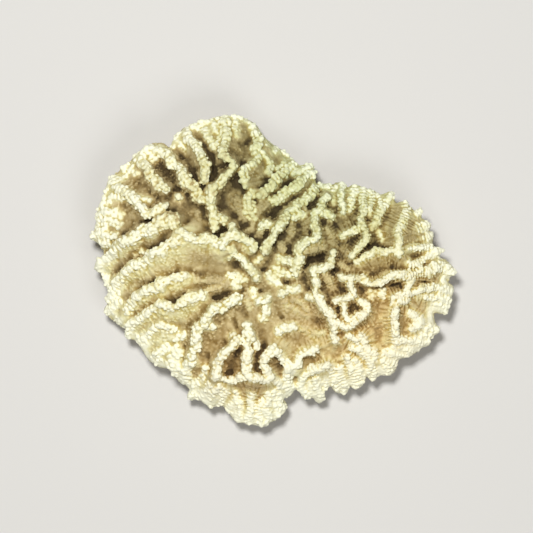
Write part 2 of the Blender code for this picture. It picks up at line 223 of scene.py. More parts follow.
def raise_wall(
    points, radius, height, lean=0.0, apron=0.0, bead=1.0, skirt=3.0, clean=0.0, dull=0.0, ragged=1.0
):
    """Grows one wall into the volume. The points are the way of its crest in millimetres, the radius is
    its half-width, and the height counts from the valley floor. Lean is the crest's shift for each
    millimetre of height, to the left of the way if positive. The apron makes the side that a leaning wall
    turns up gentler, or both sides of an upright one, in millimetres outwards for each millimetre down.
    Radius, height and apron may be rows of values that the wall passes through. Bead is the size of the
    beads, skirt how far the foot spreads on each side, and ragged how much the wall swells and narrows. A
    clean wall keeps more of the crest's colour on its apron and more beads on its flanks, and a dull one
    was never rubbed clean."""
    number = len(walls_grown)
    chance = np.random.default_rng(number)
    way, gone = smooth_way(points, WALL_STEP)
    shares = gone / gone[-1]
    left = leftwards(way)
    way = way + left * wobble(chance, gone, *SWAY)[:, None]
    half = np.maximum(spread(radius, shares) - BEAD_PROUD, THINNEST)
    swell = wobble(chance, gone, SWELL_EVERY, SWELL * ragged)
    half = half * (1 + swell + wobble(chance, gone, *LONG_SWELL))
    rise = spread(height, shares) * (1 + wobble(chance, gone, *LONG_RISE))
    rise = rise + wobble(chance, gone, *RISE) + wobble(chance, gone, *NOTCHES)
    crest = floor[ground_cell(way)] + rise - half
    shift = left * lean
    slant = spread(apron, shares)
    splay = np.clip(skirt / np.maximum(spread(height, shares), 1), STEEPEST_SIDE, GENTLEST_SIDE)
    pitch = SEPTUM_PITCH * (0.4 + 0.6 * bead)
    walls_grown.append((way, gone, left, half, bead, pitch, dull, FLANK_CHANCE * (1 + clean)))
    widest = splay.max() + slant.max()
    steepest = math.hypot(1, widest)
    spans = []
    for first in range(0, len(way) - 1, STEPS_AT_A_TIME):
        last = min(first + STEPS_AT_A_TIME, len(way) - 1)
        span = slice(first, last + 1)
        drop = min(rise[span].max() + 5, DEEPEST_FOOT)
        feet = way[span] - shift[span] * drop
        reach = (FOOT_FILLET + half[span].max()) * steepest + widest * rise[span].max() + 1
        corners = np.vstack((way[span], feet))
        low = (*(corners.min(0) - reach), crest[span].min() - drop - 3)
        high = (*(corners.max(0) + reach), crest[span].max() + 7)
        spans.append((first, last, window(low, high)))
    whole = tuple(slice(min(cut.start for cut in cuts), max(cut.stop for cut in cuts))
                  for cuts in zip(*(part for _, _, part in spans)))
    distance, aside, phase, stained = (
        np.full([cut.stop - cut.start for cut in whole], start, np.float32)
        for start in (NO_WALL, 99, 0, NO_CREST)
    )
    for first, last, part in spans:
        x = axes[0][part[0]][:, None, None]
        y = axes[1][part[1]][None, :, None]
        z = axes[2][part[2]][None, None, :]
        here = tuple(
            slice(cut.start - block.start, cut.stop - block.start) for cut, block in zip(part, whole)
        )
        for i in range(first, last):
            (ax, ay), (dx, dy) = way[i], way[i + 1] - way[i]
            length = dx * dx + dy * dy
            stride = math.sqrt(length)
            u = np.clip(((x - ax) * dx + (y - ay) * dy) / length, 0, 1)
            below = np.maximum(crest[i] + u * (crest[i + 1] - crest[i]) - z, 0)
            px = x - ax + (shift[i, 0] + u * (shift[i + 1, 0] - shift[i, 0])) * below
            py = y - ay + (shift[i, 1] + u * (shift[i + 1, 1] - shift[i, 1])) * below
            u = np.clip((px * dx + py * dy) / length, 0, 1)
            crest_here, thick, slope, gentle = (
                row[i] + u * (row[i + 1] - row[i]) for row in (crest, half, splay, slant)
            )
            side = np.hypot(px - u * dx, py - u * dy)
            depth = crest_here - z
            from_crest = np.hypot(side, depth)
            if lean and slant.max() > 0:
                across = (py * dx - px * dy) / stride * (-1 if lean > 0 else 1)
                gentle = gentle * np.clip(0.5 + 0.5 * across / (side + 0.2), 0, 1)
            slope = slope + gentle
            flank = (side - slope * depth) / np.sqrt(1 + slope * slope)
            fresh = np.where(slope * side + depth > 0, flank, from_crest) - thick
            np.minimum(distance[here], fresh, out=distance[here])
            stain = from_crest / (1 + clean * gentle) + STAIN_OF_DULL * dull
            np.minimum(stained[here], stain, out=stained[here])
            turn = gone[i] + u * stride
            if i == 0 or i == len(way) - 2:
                over = (px * dx + py * dy) / stride - u * stride
                turn = turn + END_FAN * np.arctan2(over, np.abs(px * dy - py * dx) / stride + 0.1)
            phase[here] = np.where(side < aside[here], turn, phase[here])
            np.minimum(aside[here], side, out=aside[here])
    gap = distance - wall_distance[whole]
    septum_phase[whole] = np.where(gap < 0, phase / pitch, septum_phase[whole])
    owner[whole] = np.where(gap < 0, number, owner[whole])
    rival[whole] = np.where(gap < 0, -gap, np.minimum(rival[whole], gap))
    wall_distance[whole] = smooth_min(distance, wall_distance[whole], WALL_FILLET)
    np.minimum(crest_distance[whole], stained, out=crest_distance[whole])


sunk = floor.copy()


def sink_pit(x, y, half_length, half_width, depth, turn=0):
    """A hollow in the valley floor, its long axis turned from +X in degrees."""
    turn = math.radians(turn)
    along = ((ground_x - x) * math.cos(turn) + (ground_y - y) * math.sin(turn)) / half_length
    across = ((ground_y - y) * math.cos(turn) - (ground_x - x) * math.sin(turn)) / half_width
    sunk[:] -= depth * np.exp(-((along**2 + across**2) ** 1.5))


# Heart: the middle of the colony, a tangle of short walls with deep pockets between them, of the same
# solid aragonite as all the rest. It is the oldest part, right above the stalk.

HEART_WALLS = [
    ([(-46, 19.5), (-43, 19), (-40, 17.5), (-36, 17), (-32, 16.5), (-29.5, 14.5), (-26.5, 14), (-25, 13)],
     2.6, (11, 11, 10), 0.4, 1.0),
    ([(-25, 13), (-23, 16), (-20.5, 18), (-18, 17.5), (-15, 17), (-13, 15.5), (-10.5, 14), (-10, 12)],
     2.8, (10, 11, 9), 0.4, 0.5),
    ([(-20, 22.5), (-19.5, 20), (-18.5, 17)], 1.9, (8, 10)),
    ([(-20, 11), (-17, 7.5), (-14, 4.5), (-12, 2.5), (-9.5, 0.5), (-8.5, -3)], 2.2, (9, 8, 6)),
    ([(-29, 11), (-26, 10), (-23, 10.5), (-20.5, 12)], 2.4, (7, 8)),
    ([(-28, 8), (-25, 7), (-22, 7.5)], 1.8, (6, 6)),
    ([(15, 36), (12, 33.5), (10, 30.5), (7, 30), (5.5, 27), (4, 24), (2, 21.5), (0.5, 18.5), (-1, 15.5),
      (-2.5, 12.5), (-3.5, 10.5)], 2.6, (6, 9, 8), 0.15),
    ([(14, 29), (11, 28), (8, 27.5)], 2.2, (6, 6)),
    ([(-30, 35), (-31.5, 33), (-30, 30), (-29.5, 27), (-30.5, 24.5), (-29, 22)], (2.6, 2.6, 3), (8, 9, 8)),
    ([(-29, 27), (-26.5, 27), (-24.5, 26)], 2.2, (7, 6)),
    ([(26, 37.5), (24.5, 34), (23.5, 31), (21, 28), (21, 24), (21.5, 20), (20, 16.5), (16, 15), (12.5, 13),
      (12.5, 10), (14, 7), (12, 4), (10, 1.5), (10.5, -1)], 2.4, (7, 9, 9, 6)),
    ([(24.5, 29.5), (27, 29), (29, 27.5)], 2, (7, 5)),
    ([(21.5, 19), (22.5, 15.5)], 1.8, (7, 5)),
    ([(13.5, 7), (10, 6), (6.5, 6.5), (3.5, 6)], 1.9, (7, 5, 3)),
    ([(29.5, 10), (29.5, 6.5), (27.5, 3.5), (24, 2), (19.5, 1), (20.5, -3), (21.5, -7), (21, -11),
      (23.5, -14.5), (26, -18), (28.5, -22), (30, -26), (30.5, -30), (31, -34)], 2, (9, 9, 8, 6)),
    ([(18, -13), (20.5, -13.5), (23, -13)], 2, (5, 6)),
    ([(-7, -14.5), (-4, -15), (-3, -13)], 1.9, (4, 5)),
    ([(-3.5, -15), (-3, -18), (-4, -21), (-5, -23)], 1.9, (5, 5, 3.5)),
    ([(4.5, -10.5), (8, -9.5), (11.5, -8)], 2.1, (4, 4)),
    ([(3, -29.5), (6, -28.5), (9.5, -26.5)], 2.1, (4, 4)),
    ([(-9.5, -9), (-9, -12)], 1.7, (3.5, 3)),
    ([(-5.5, 22.5), (-3, 23.5), (-0.5, 22)], 2.1, (6, 6)),
    ([(-17.5, -3.5), (-17.5, -7)], 2.2, (5, 5)),
    ([(-21, -2.5), (-17, -1.5), (-14, -3)], 1.6, (2.5, 3)),
    ([(-12, 10), (-8, 10.5), (-6, 8), (-8, 5.5), (-11.5, 6)], 1.5, (2, 2.5)),
    ([(1.5, 2), (5, 0.5), (9, -1)], 1.6, (2, 2)),
    ([(-2, -1), (0, -3.5), (3, -5)], 1.7, (2.5, 2)),
]
# Low ridges between them, still brown with dried tissue
HEART_RIDGES = [
    ([(-23, -5.5), (-28, -4.5), (-34, -4), (-40, -2.5), (-45, -1)], 2.4, (3, 4.5, 4.5, 6)),
    ([(-23, 3), (-28, 3.5), (-34, 2.5), (-39, 1.5)], 2, (2, 3, 2)),
    ([(-27, -8.5), (-32, -8.5), (-37, -9.5), (-41, -10.5)], 1.8, (2.5, 3, 4)),
    ([(8, -16), (12, -19), (17, -22)], 1.6, (1.5, 2, 1.5)),
    ([(2, -9), (6, -14), (7, -19)], 1.5, (1.5, 2, 1.5)),
    ([(13, -27), (18, -30), (22, -34)], 1.6, (2, 2.5, 2)),
    ([(34, 4), (37, 1), (41, 0)], 1.7, (2.5, 3, 2)),
    ([(35, 12), (37, 9), (40, 7)], 1.6, (2, 3, 2)),
    ([(27, 22), (29, 18), (29, 14)], 1.7, (3, 3, 2)),
    ([(-14, 20), (-10, 22), (-9, 25)], 1.6, (3, 2.5)),
    ([(-38, 30), (-37, 26), (-33, 24)], 1.6, (2, 2.5)),
    ([(-5, 21), (-6.5, 17.5), (-7, 14)], 2.6, (5, 4, 2)),
    ([(15.5, 31), (17, 26.5), (17, 22), (16, 18.5)], 2.3, (5, 5, 3)),
    ([(8, 24.5), (9, 20.5), (8, 17)], 2.6, (4, 3, 2)),
    ([(3, 13.5), (4.5, 10.5)], 1.8, (3, 2)),
    ([(16, 10.5), (20, 11.5), (25, 12)], 2, (5, 6, 4)),
    ([(-3.5, 34.5), (-6.5, 31), (-8, 27.5)], 3.2, (6, 5, 3)),
    ([(-15, 27), (-17, 31), (-17.5, 36)], 2.4, (3, 4, 3)),
    ([(26, -1.5), (28, -4.5), (29, -7.5)], 2.2, (5, 5, 3)),
    ([(21, -31), (25, -29.5)], 1.7, (3, 3)),
    ([(10, -14), (14, -15), (17, -18)], 1.8, (2, 2.5, 2)),
    ([(-12, -8), (-13, -13), (-12, -18)], 2.2, (2, 3, 2)),
]
HEART_PITS = [
    (21.5, 5.5, 7, 3.6, 16, 12), (5.5, -5, 3.5, 1.8, 2.5), (24, -24, 4.5, 5.5, 2), (7, 12, 4, 3.4, 3),
    (-27, -12, 6, 4, 2.5, 20), (-15, 9, 3, 4, 3, 20), (-3, 1, 4, 1.8, 3), (-21, 22, 4, 3, 2.5),
    (-18.5, -26.5, 2, 4, 2.6, 15), (4.5, -22.5, 1.6, 2.8, 2, 20), (-6, -9.5, 3, 1.8, 2),
]
for wall in HEART_WALLS:
    raise_wall(*wall, bead=0.85, clean=1.5)
for wall in HEART_RIDGES:
    raise_wall(*wall, bead=0.7, dull=0.3)
for pit in HEART_PITS:
    sink_pit(*pit)


# Upper left fan: broad rounded leaves that run in from the margin and end in fat knobs, over tan valleys.
# The same stone as the heart, grown out from it without a joint.

UPPER_LEFT_WALLS = [
    ([(-63, 62.5), (-57, 60.5), (-51, 56.5), (-47.5, 51.5), (-44.5, 47), (-41, 42.5), (-38, 38.5),
      (-35, 36.5)], 3.1, (3, 8, 9, 8)),
    ([(-69, 58.5), (-66, 55), (-63, 51), (-60, 47.5), (-57, 44), (-53.5, 41.5)],
     (2.7, 3.2, 3.9), (3, 7, 9)),
    ([(-66, 59), (-61, 55.5)], 1.5, (2.5, 2.5)),
    ([(-63, 60.5), (-59, 57)], 1.4, (2.5, 2)),
    ([(-47, 38.4), (-46.4, 37.9)], 1.2, (3, 3)),
    ([(-74, 53), (-70.5, 51.5), (-67, 50)], 2.2, (1.5, 1.5)),
    ([(-80.5, 46), (-78, 41.5), (-74.5, 41.5), (-71.5, 38.5), (-69, 35), (-66.5, 32.5), (-63.5, 29.5),
      (-60, 29), (-57, 31), (-54, 32.5)], 2.8, (2.5, 5, 8, 8, 7)),
    ([(-68.5, 37.5), (-65, 37), (-62, 35)], 1.4, (5, 3)),
    ([(-80, 37.5), (-77, 37.5), (-73, 36.5)], 1.7, (2, 3)),
    ([(-81, 47), (-82, 43.5), (-83.5, 40), (-85, 36), (-86.5, 33), (-87.5, 29), (-87.5, 24), (-87.5, 20)],
     2.6, (1.6, 1.8, 1.8)),
    ([(-78, 45), (-79.5, 41), (-81, 37), (-83, 32), (-84, 27), (-83.5, 22)], 2, (1.2, 1.2)),
    ([(-86, 30), (-84, 31), (-80, 29.5), (-77, 28.5)], 1.9, (2.5, 3.5, 2)),
    ([(-87, 26), (-82, 26), (-78, 24)], 1.9, (2.5, 3, 1.5)),
    ([(-91, 17.5), (-87, 19.5), (-83, 18), (-79, 17.5)], 2, (2, 4, 3)),
    ([(-88, 14), (-84, 14), (-80, 14)], 1.9, (2, 3.5, 3)),
    ([(-50, 26.5), (-55, 24.5), (-60, 21.5), (-65, 20), (-69, 18), (-73, 15), (-77, 12.5), (-80, 9.5),
      (-85, 6.5), (-88, 4)], (4.4, 3.8, 3.2, 2.8), (10, 11, 10, 7, 2.5), -0.5, 0.35),
    ([(-69, 9.5), (-66, 10.5), (-62, 9)], 2.2, (3, 4, 3)),
]
UPPER_LEFT_PITS = [
    (-57.5, 52.5, 5, 2.4, 0.6, -50), (-42, 24, 6, 2.4, 3, -10),
]
for wall in UPPER_LEFT_WALLS:
    raise_wall(*wall, bead=0.98, skirt=2.5, clean=3, ragged=0.5)
for pit in UPPER_LEFT_PITS:
    sink_pit(*pit)


# Top fan: the highest leaves, wound like a brain, behind a thick pale rim. The same stone, grown out from
# the heart, with the green cast of old algae dried on it.

TOP_WALLS = [
    ([(-50, 66), (-46, 70), (-43, 72), (-39, 73.5), (-36, 75), (-31, 76), (-25, 77.5), (-17, 78), (-13, 77),
      (-11.5, 74.5), (-9, 73), (-7, 71), (-4.5, 68.5), (-2, 66), (1, 63.5), (4, 61), (7, 58.5), (10, 57),
      (12, 55), (15, 54), (19, 54), (20, 51), (21, 48)], 2.3, (1.2, 1.2, 1.2)),
    ([(-43, 70), (-41, 66), (-38.5, 63.5), (-36.5, 60), (-34.5, 56.5), (-33, 52.5), (-33.5, 48.5),
      (-34.5, 45.5)], 2.5, (3, 7, 9, 8), 0.2, 0.15),
    ([(-24.5, 75), (-24, 70.5), (-24, 66.5), (-25.5, 62), (-25.5, 59), (-22.5, 56.5), (-20, 54), (-20, 51),
      (-22.5, 48), (-25, 45.5), (-28.5, 43), (-31, 40.5), (-30.5, 38), (-30, 35)], 2.5, (2.5, 6, 9, 9, 9)),
    ([(-10.5, 72.5), (-9, 69.5), (-8, 66), (-9, 62.5), (-9, 60)], 2.4, (2, 6, 6)),
    ([(-5.5, 59.5), (-8, 57.5), (-9, 55), (-12, 53.7), (-15, 52), (-15, 48.5), (-13.5, 45), (-13, 43.5)],
     2.5, (5, 7, 8, 7), -0.3, 0.6),
    ([(-5, 59.5), (-3, 56.5), (-2, 53), (-3, 50)], 2.1, (4, 5, 4)),
    ([(-11.5, 40), (-11.5, 36), (-11, 32), (-10.5, 28)], 3.6, (5, 5, 3)),
    ([(13, 55), (10, 53.5), (7, 51.5), (4, 48), (1.5, 45), (-1, 42.5), (-4, 40.5), (-7, 38.5)],
     2.7, (3, 6, 8, 7), -0.4, 0.3),
    ([(9.5, 57), (6.5, 55.5), (4, 53.5), (2, 51.5)], 2, (2, 3.5, 3)),
    ([(20, 49), (17, 47.5), (14, 46), (11, 43), (8, 41), (4.5, 39), (1.5, 37), (-2, 35.5)],
     2.7, (4, 7, 8, 7), -0.5, 0.3),
    ([(19, 54), (16, 52), (13, 50.5), (10, 49)], 2.2, (2.5, 4, 4)),
]
# Thin leaves between them, half drowned in the rim
TOP_RIBS = [
    ([(-48.5, 66.5), (-45, 63.5), (-42, 60)], 1.6, (2, 2, 1)),
    ([(-36, 73), (-33.5, 69.5), (-31.5, 66), (-30, 62.5)], 1.5, (1.5, 3, 3)),
    ([(-30, 74), (-28.5, 71), (-27.5, 67), (-27, 64)], 1.3, (1.5, 2.5, 2)),
    ([(-19.5, 75), (-18, 72), (-17.5, 69)], 1.6, (1.5, 3, 2.5)),
    ([(-5, 67), (-3, 63)], 1.8, (2.5, 3)),
    ([(1, 63), (-1, 60), (-2.5, 58)], 1.6, (2, 3)),
]
TOP_PITS = [
    (1, 49, 2, 2.8, 3.5), (8.5, 35, 3.6, 2, 5, 10), (-29, 50, 2.2, 4, 3, 15), (-31, 59, 2, 5, 2, 20),
    (0, 28, 4.5, 2.2, 5, 20), (-1, 22.5, 2.5, 3, 3),
]
for wall in TOP_WALLS:
    raise_wall(*wall, bead=1.02, skirt=2.5, ragged=0.8)
for wall in TOP_RIBS:
    raise_wall(*wall, bead=0.7)
for pit in TOP_PITS:
    sink_pit(*pit)


# Right fan: long thin walls that run out to the right and end in blunt fingers, and one high curled leaf
# with a broad side of fine septa. The same stone, grown out from the heart.

RIGHT_WALLS = [
    ([(24, 43.5), (21, 41), (18.5, 38.5), (16.5, 36)], 3.4, (3, 6, 6)),
    ([(27.5, 43.5), (26.5, 41)], 1.9, (2, 3)),
    ([(35.5, 44), (34.5, 40), (34, 36), (34.5, 32.5), (34.5, 30)], 1.9, (2, 5, 6, 5)),
    ([(31, 42), (30.5, 38), (30, 34)], 1.7, (2, 3, 2)),
    ([(41, 43), (40.5, 39), (39.5, 35), (38.5, 31)], 1.9, (2, 4, 3)),
    ([(46, 41.5), (45, 38), (44.5, 35), (45.5, 32), (45, 29), (44, 26), (45.5, 22.5), (46.5, 19),
      (47, 16.5), (45, 14), (42.5, 12), (40, 9.5), (39, 8)], 2, (2.5, 6, 9, 9, 7)),
    ([(44, 22), (40.5, 21), (37.5, 19.5), (35, 17.5)], 1.9, (7, 5, 4)),
    ([(49, 40.5), (49, 36), (48.5, 32), (48, 28)], 1.9, (2, 4, 3)),
    ([(52.5, 39), (53.5, 35.5), (53.5, 32), (52, 28.5), (50.5, 25)], 1.9, (2, 5, 5)),
    ([(59.5, 38.5), (57.5, 35), (55.5, 32), (54, 29), (52, 26), (50, 22)], 2.2, (2.5, 5, 5)),
    ([(66, 34.5), (67, 31), (66, 28), (64.5, 25), (63, 22), (62.5, 19), (62, 16), (62.5, 13), (63, 10.5),
      (62.5, 9)], 2.1, (3, 6, 9, 10, 9), 0, (0.2, 0.5, 0.6, 0.6, 0.5)),
    ([(74, 30), (71, 28.5), (68.5, 27), (66, 26)], (2.2, 2.8, 2), (2, 4, 6)),
    ([(78.5, 25), (75, 23), (71.5, 21), (67.5, 18.5)], (2.2, 3.2, 3, 2), (2.5, 4, 4.5, 3), 0, 0.3),
    ([(79, 19), (75.5, 17.5), (71, 16), (67.5, 14.5)], (2, 2.8, 2.6, 2), (2.5, 3.5, 4, 3), 0, 0.3),
    ([(63.5, 10), (59, 10.5), (54, 10.5), (50, 9.5), (46.5, 8), (43, 5)], 2.2, (8, 7, 6, 5), -0.5, 0.8),
    ([(84.5, 11.5), (81, 11.5), (77, 12), (73, 11.5), (69, 11.5), (66.5, 11)], 2, (2, 5, 7)),
    ([(83, 8), (79, 8.5), (75.5, 7), (72, 5), (69, 4), (66, 5.5), (64, 7)], 2, (2, 5, 6, 6)),
    ([(90, 1), (86, 2), (82, 2), (78, 1), (74, 0.5), (70, 0), (66, -1), (62, -1.5), (60, -1)],
     (2.6, 3.2, 2.6), (2.5, 5, 6, 7)),
    ([(60.5, -1.5), (57, -3), (54, -4.5), (51, -6), (48, -6.5), (46.5, -4), (45.5, -2.5)],
     2, (7, 8, 8, 5), 0.4),
    ([(57.5, 22), (58, 18), (58, 14)], 1.5, (3, 3)),
    ([(74.5, 30.5), (72, 28.8)], 2.3, (4, 5)),
    ([(79, 25), (76, 23.8)], 2.3, (4, 4)),
    ([(85, 11), (82, 11.2)], 2.4, (4, 5)),
    ([(90.5, 0.5), (87.5, 1.2)], 2.6, (4, 5)),
    ([(66, 35), (66.5, 32.5)], 2.2, (4, 5)),
    ([(59.5, 39.5), (58, 36.5)], 2.4, (4, 5)),
    ([(53, 20), (54, 16)], 1.5, (2, 2)),
]
RIGHT_PITS = [
    (28, 32, 2.2, 1.8, 3), (71.5, 8.5, 3.6, 1.8, 4), (48, -1.5, 7, 1.8, 5, -5), (32, 20, 4, 5, 3),
    (70, 13.2, 4.5, 0.9, 3),
]
for wall in RIGHT_WALLS:
    raise_wall(*wall, bead=0.78)
for pit in RIGHT_PITS:
    sink_pit(*pit)


# Lower right fan: a pale scalloped apron. Low fingers run to the margin, each a wall of open septa. The
# same stone, grown out from the heart, and the cleanest of the colony.

LOWER_RIGHT_WALLS = [
    ([(34.5, -3.5), (38, -3), (42, -3.5)], 2.1, (7, 8, 6)),
    ([(39, -4), (39, -8), (40, -11), (36, -12.5), (31.5, -14.5)], 2, (8, 8, 8, 7)),
    ([(44, -14), (45.5, -16.5), (46.5, -19), (44.5, -22), (41, -24.5), (37.5, -27), (34, -26.5),
      (31, -25.5)], 2.1, (6, 8, 8, 7)),
    ([(35.5, -14.5), (36, -18), (36, -21), (37, -24)], 1.4, (6, 6, 6)),
    ([(48, -9.5), (48.5, -12.5)], 3, (1.5, 1.5)),
    ([(54, -8.5), (54.5, -12)], 3, (1.5, 1.5)),
    ([(68.5, -4.5), (67, -7)], 2.2, (4, 5)),
    ([(89.5, -9), (85, -9), (80, -7.5), (76, -8.5), (71, -9.5), (66, -11), (60, -12.5)], 2.1, (2, 4, 5, 5)),
    ([(89, -13.5), (84, -13), (78, -12), (72, -11.5)], 1.9, (1.5, 2.5, 3)),
    ([(88.5, -16.5), (84, -16), (80, -15)], 1.8, (1.5, 2, 1)),
    ([(87, -19.5), (83.5, -18.5), (80.5, -17.5)], 1.8, (1.5, 2, 1)),
    ([(66.5, -14), (63.5, -14.5), (60.5, -15)], 2.6, (4, 6, 5)),
    ([(60.5, -19), (61, -23), (61.5, -28), (61, -32), (61.5, -35)], 2.2, (7, 7, 6, 4), 0.3, 0.5),
    ([(68.5, -20.5), (72, -21.5), (74.5, -24.5), (73, -27.5), (70, -28.5)], 2, (3, 4.5, 4)),
    ([(83, -28.5), (79.5, -28), (75.5, -27)], 2, (1.5, 2.5, 3)),
    ([(80, -32), (77, -31.5), (73, -31)], 1.9, (1.5, 2.5, 2)),
    ([(78, -35.5), (75, -35), (70, -34), (66, -34.5), (62, -35.5)], 2, (1.5, 3, 4)),
    ([(73, -40), (69, -39), (65, -38), (61, -37.5)], 2, (1.5, 3, 3)),
    ([(68, -42.5), (65, -41.5), (60, -40.5), (56, -41)], 2, (1.5, 2.5, 2.5)),
    ([(62, -46), (59, -45), (56, -43)], 1.9, (1.5, 2, 2)),
    ([(58.5, -51), (57, -47), (55, -44)], 2, (1.5, 2.5, 2)),
    ([(50.5, -54), (50, -50), (48.5, -46.5), (47.5, -42), (48, -39)], 2, (1.5, 3.5, 4)),
    ([(47, -39), (49.5, -40), (50, -43)], 1.7, (4, 3)),
    ([(45, -55), (44, -51), (42.5, -47), (41.5, -44.5)], 2, (1.5, 3.5, 4)),
    ([(41.5, -57.5), (41, -53), (40, -49), (38.5, -46), (37.5, -43)], 1.9, (1.5, 3, 4)),
    ([(36, -61), (36, -57), (34.5, -53), (33, -49)], 1.9, (1.5, 3, 3)),
    ([(31.5, -59), (31, -55), (29.5, -50), (28.5, -46.5)], 1.9, (1.5, 3, 3)),
    ([(27, -58.5), (26.5, -55), (26, -52)], 1.8, (1.5, 2.5, 2)),
    ([(38, -32), (41, -34), (43, -37)], 2, (4, 5, 4)),
    ([(43.5, -31.5), (46, -34.5), (47, -38)], 2, (4, 5, 4)),
    ([(40, -38), (44, -39.5), (45.5, -42)], 1.9, (4, 5, 4)),
    ([(27, -46), (24, -47.5), (20, -49.5), (17, -51), (15, -53), (14, -57), (16, -62), (18, -63.5)],
     (2.4, 2.8, 2.4), (5, 6, 6, 2)),
    ([(22, -54), (22.5, -58), (23.5, -63), (23.5, -65)], 2.1, (4, 3.5, 1.5)),
    ([(18.5, -55), (19, -59), (19.5, -62)], 1.6, (3, 2)),
]
LOWER_RIGHT_PITS = [
    (40, -17, 3.8, 3.4, 7), (32.5, -20, 1.8, 3.6, 4), (76.5, -27, 1.3, 1, 2), (41.5, -41, 1.8, 1.6, 4),
    (53, -30, 2.5, 4.5, 2.5), (63, -5.5, 5, 1, 4, 18), (74, -4.8, 5, 0.9, 3, -4), (10.5, -52, 2, 6, 4),
    (36, -47, 4, 0.9, 1.5, 30),
]
for wall in LOWER_RIGHT_WALLS:
    raise_wall(*wall, bead=0.8, skirt=3.3, dull=0.03)
for pit in LOWER_RIGHT_PITS:
    sink_pit(*pit)


# Bottom fan: the lowest tier, a small pale skirt below the rest, with a leaf bent to a V above it. The
# same stone, grown out from under the heart.

BOTTOM_WALLS = [
    ([(-16.5, -33), (-19.5, -36.5), (-22, -39), (-25, -42), (-27, -45.5), (-28.5, -49), (-29, -52)],
     3, (6, 8, 9, 10)),
    ([(-13, -26.5), (-12.5, -30), (-12.5, -34), (-13, -38), (-13, -42), (-13, -46), (-13.5, -49.5)],
     2.8, (6, 8, 8, 9)),
    ([(-11, -31), (-9, -34), (-8, -37)], 2, (7, 6, 5)),
    ([(-28, -52), (-25, -53.5), (-22, -54.5), (-18, -53.5), (-15, -52), (-12, -51), (-9, -52.5),
      (-6, -53.5), (-3, -54), (-1, -52)], 2.3, (8, 8, 8, 8), 0.1, 0.1),
    ([(-1.5, -52), (-3.5, -48), (-4.5, -44.5), (-3, -41), (0, -38.5)], 2.2, (9, 8, 8, 8), 0.3),
    ([(0, -38.5), (3, -41), (6, -45), (8.5, -48.5)], 2.3, (8, 9, 10), -0.5, 0.8),
    ([(12, -45), (16, -41.5), (21, -39)], 2.1, (8, 8, 6), -0.5, 0.6),
    ([(8, -49), (10, -47), (12, -45)], 2, (9, 8)),
    ([(7.5, -50), (8, -54), (9.5, -58), (10.5, -60)], 1.9, (7, 5, 3)),
    ([(-20.5, -33), (-19, -31.5)], 1.4, (3, 3)),
]
# The tier's ribs, each a low wall that runs out to the margin
TIER_RIBS = [
    ([(-41.5, -63), (-37, -61.5), (-33, -58), (-30, -55.5)], 2.1, (1.5, 4, 6)),
    ([(-39, -64.5), (-35, -62), (-31, -58.5)], 1.6, (1.5, 3, 4)),
    ([(-36, -66), (-33, -62.5), (-30, -59), (-27, -56.5)], 2.1, (1.5, 4, 6)),
    ([(-32, -67.5), (-29, -63), (-26, -59), (-25, -56)], 2, (1.5, 3.5, 4, 5)),
    ([(-27, -67.5), (-25, -63), (-23, -59), (-22, -56)], 2, (1.5, 3.5, 4, 3)),
    ([(-22, -70), (-20, -66), (-18.5, -63.5), (-18.5, -58)], 1.8, (1.5, 3, 3, 2)),
    ([(-18, -74.5), (-17, -70), (-16.5, -66)], 2, (1.5, 3, 3)),
    ([(-12, -76.5), (-12, -72), (-11, -68), (-11, -62), (-10.5, -56)], 1.8, (1.5, 3, 3, 2.5, 3)),
    ([(-7, -77), (-7, -72.5), (-6.5, -68.5), (-6, -64)], 2, (1.5, 3, 3)),
    ([(-3, -76), (-3, -71), (-3, -66), (-2.5, -61)], 2, (1.5, 3, 4)),
    ([(2, -72.5), (1, -69), (0, -65), (-0.5, -60)], 2, (1.5, 3, 4)),
    ([(5.5, -69), (4, -66), (3, -62), (3, -58)], 1.8, (1.5, 3, 3, 3)),
    ([(9, -59.5), (6, -57.5), (2, -55), (-2, -53)], 1.8, (2, 4, 5, 6)),
]
BOTTOM_PITS = [
    (-20, -62, 2, 2, 3), (-14, -61.5, 2.2, 1.6, 2), (-14, -66.5, 1.4, 2, 2), (-20.5, -47, 3, 3.6, 1),
]
for wall in BOTTOM_WALLS:
    raise_wall(*wall, bead=0.95)
for wall in TIER_RIBS:
    raise_wall(*wall, bead=0.75, dull=0.04)
for pit in BOTTOM_PITS:
    sink_pit(*pit)


# Lower left fan: long leaves laid over each other like tiles, each leaning back from the margin. The same
# stone, grown out from the heart.

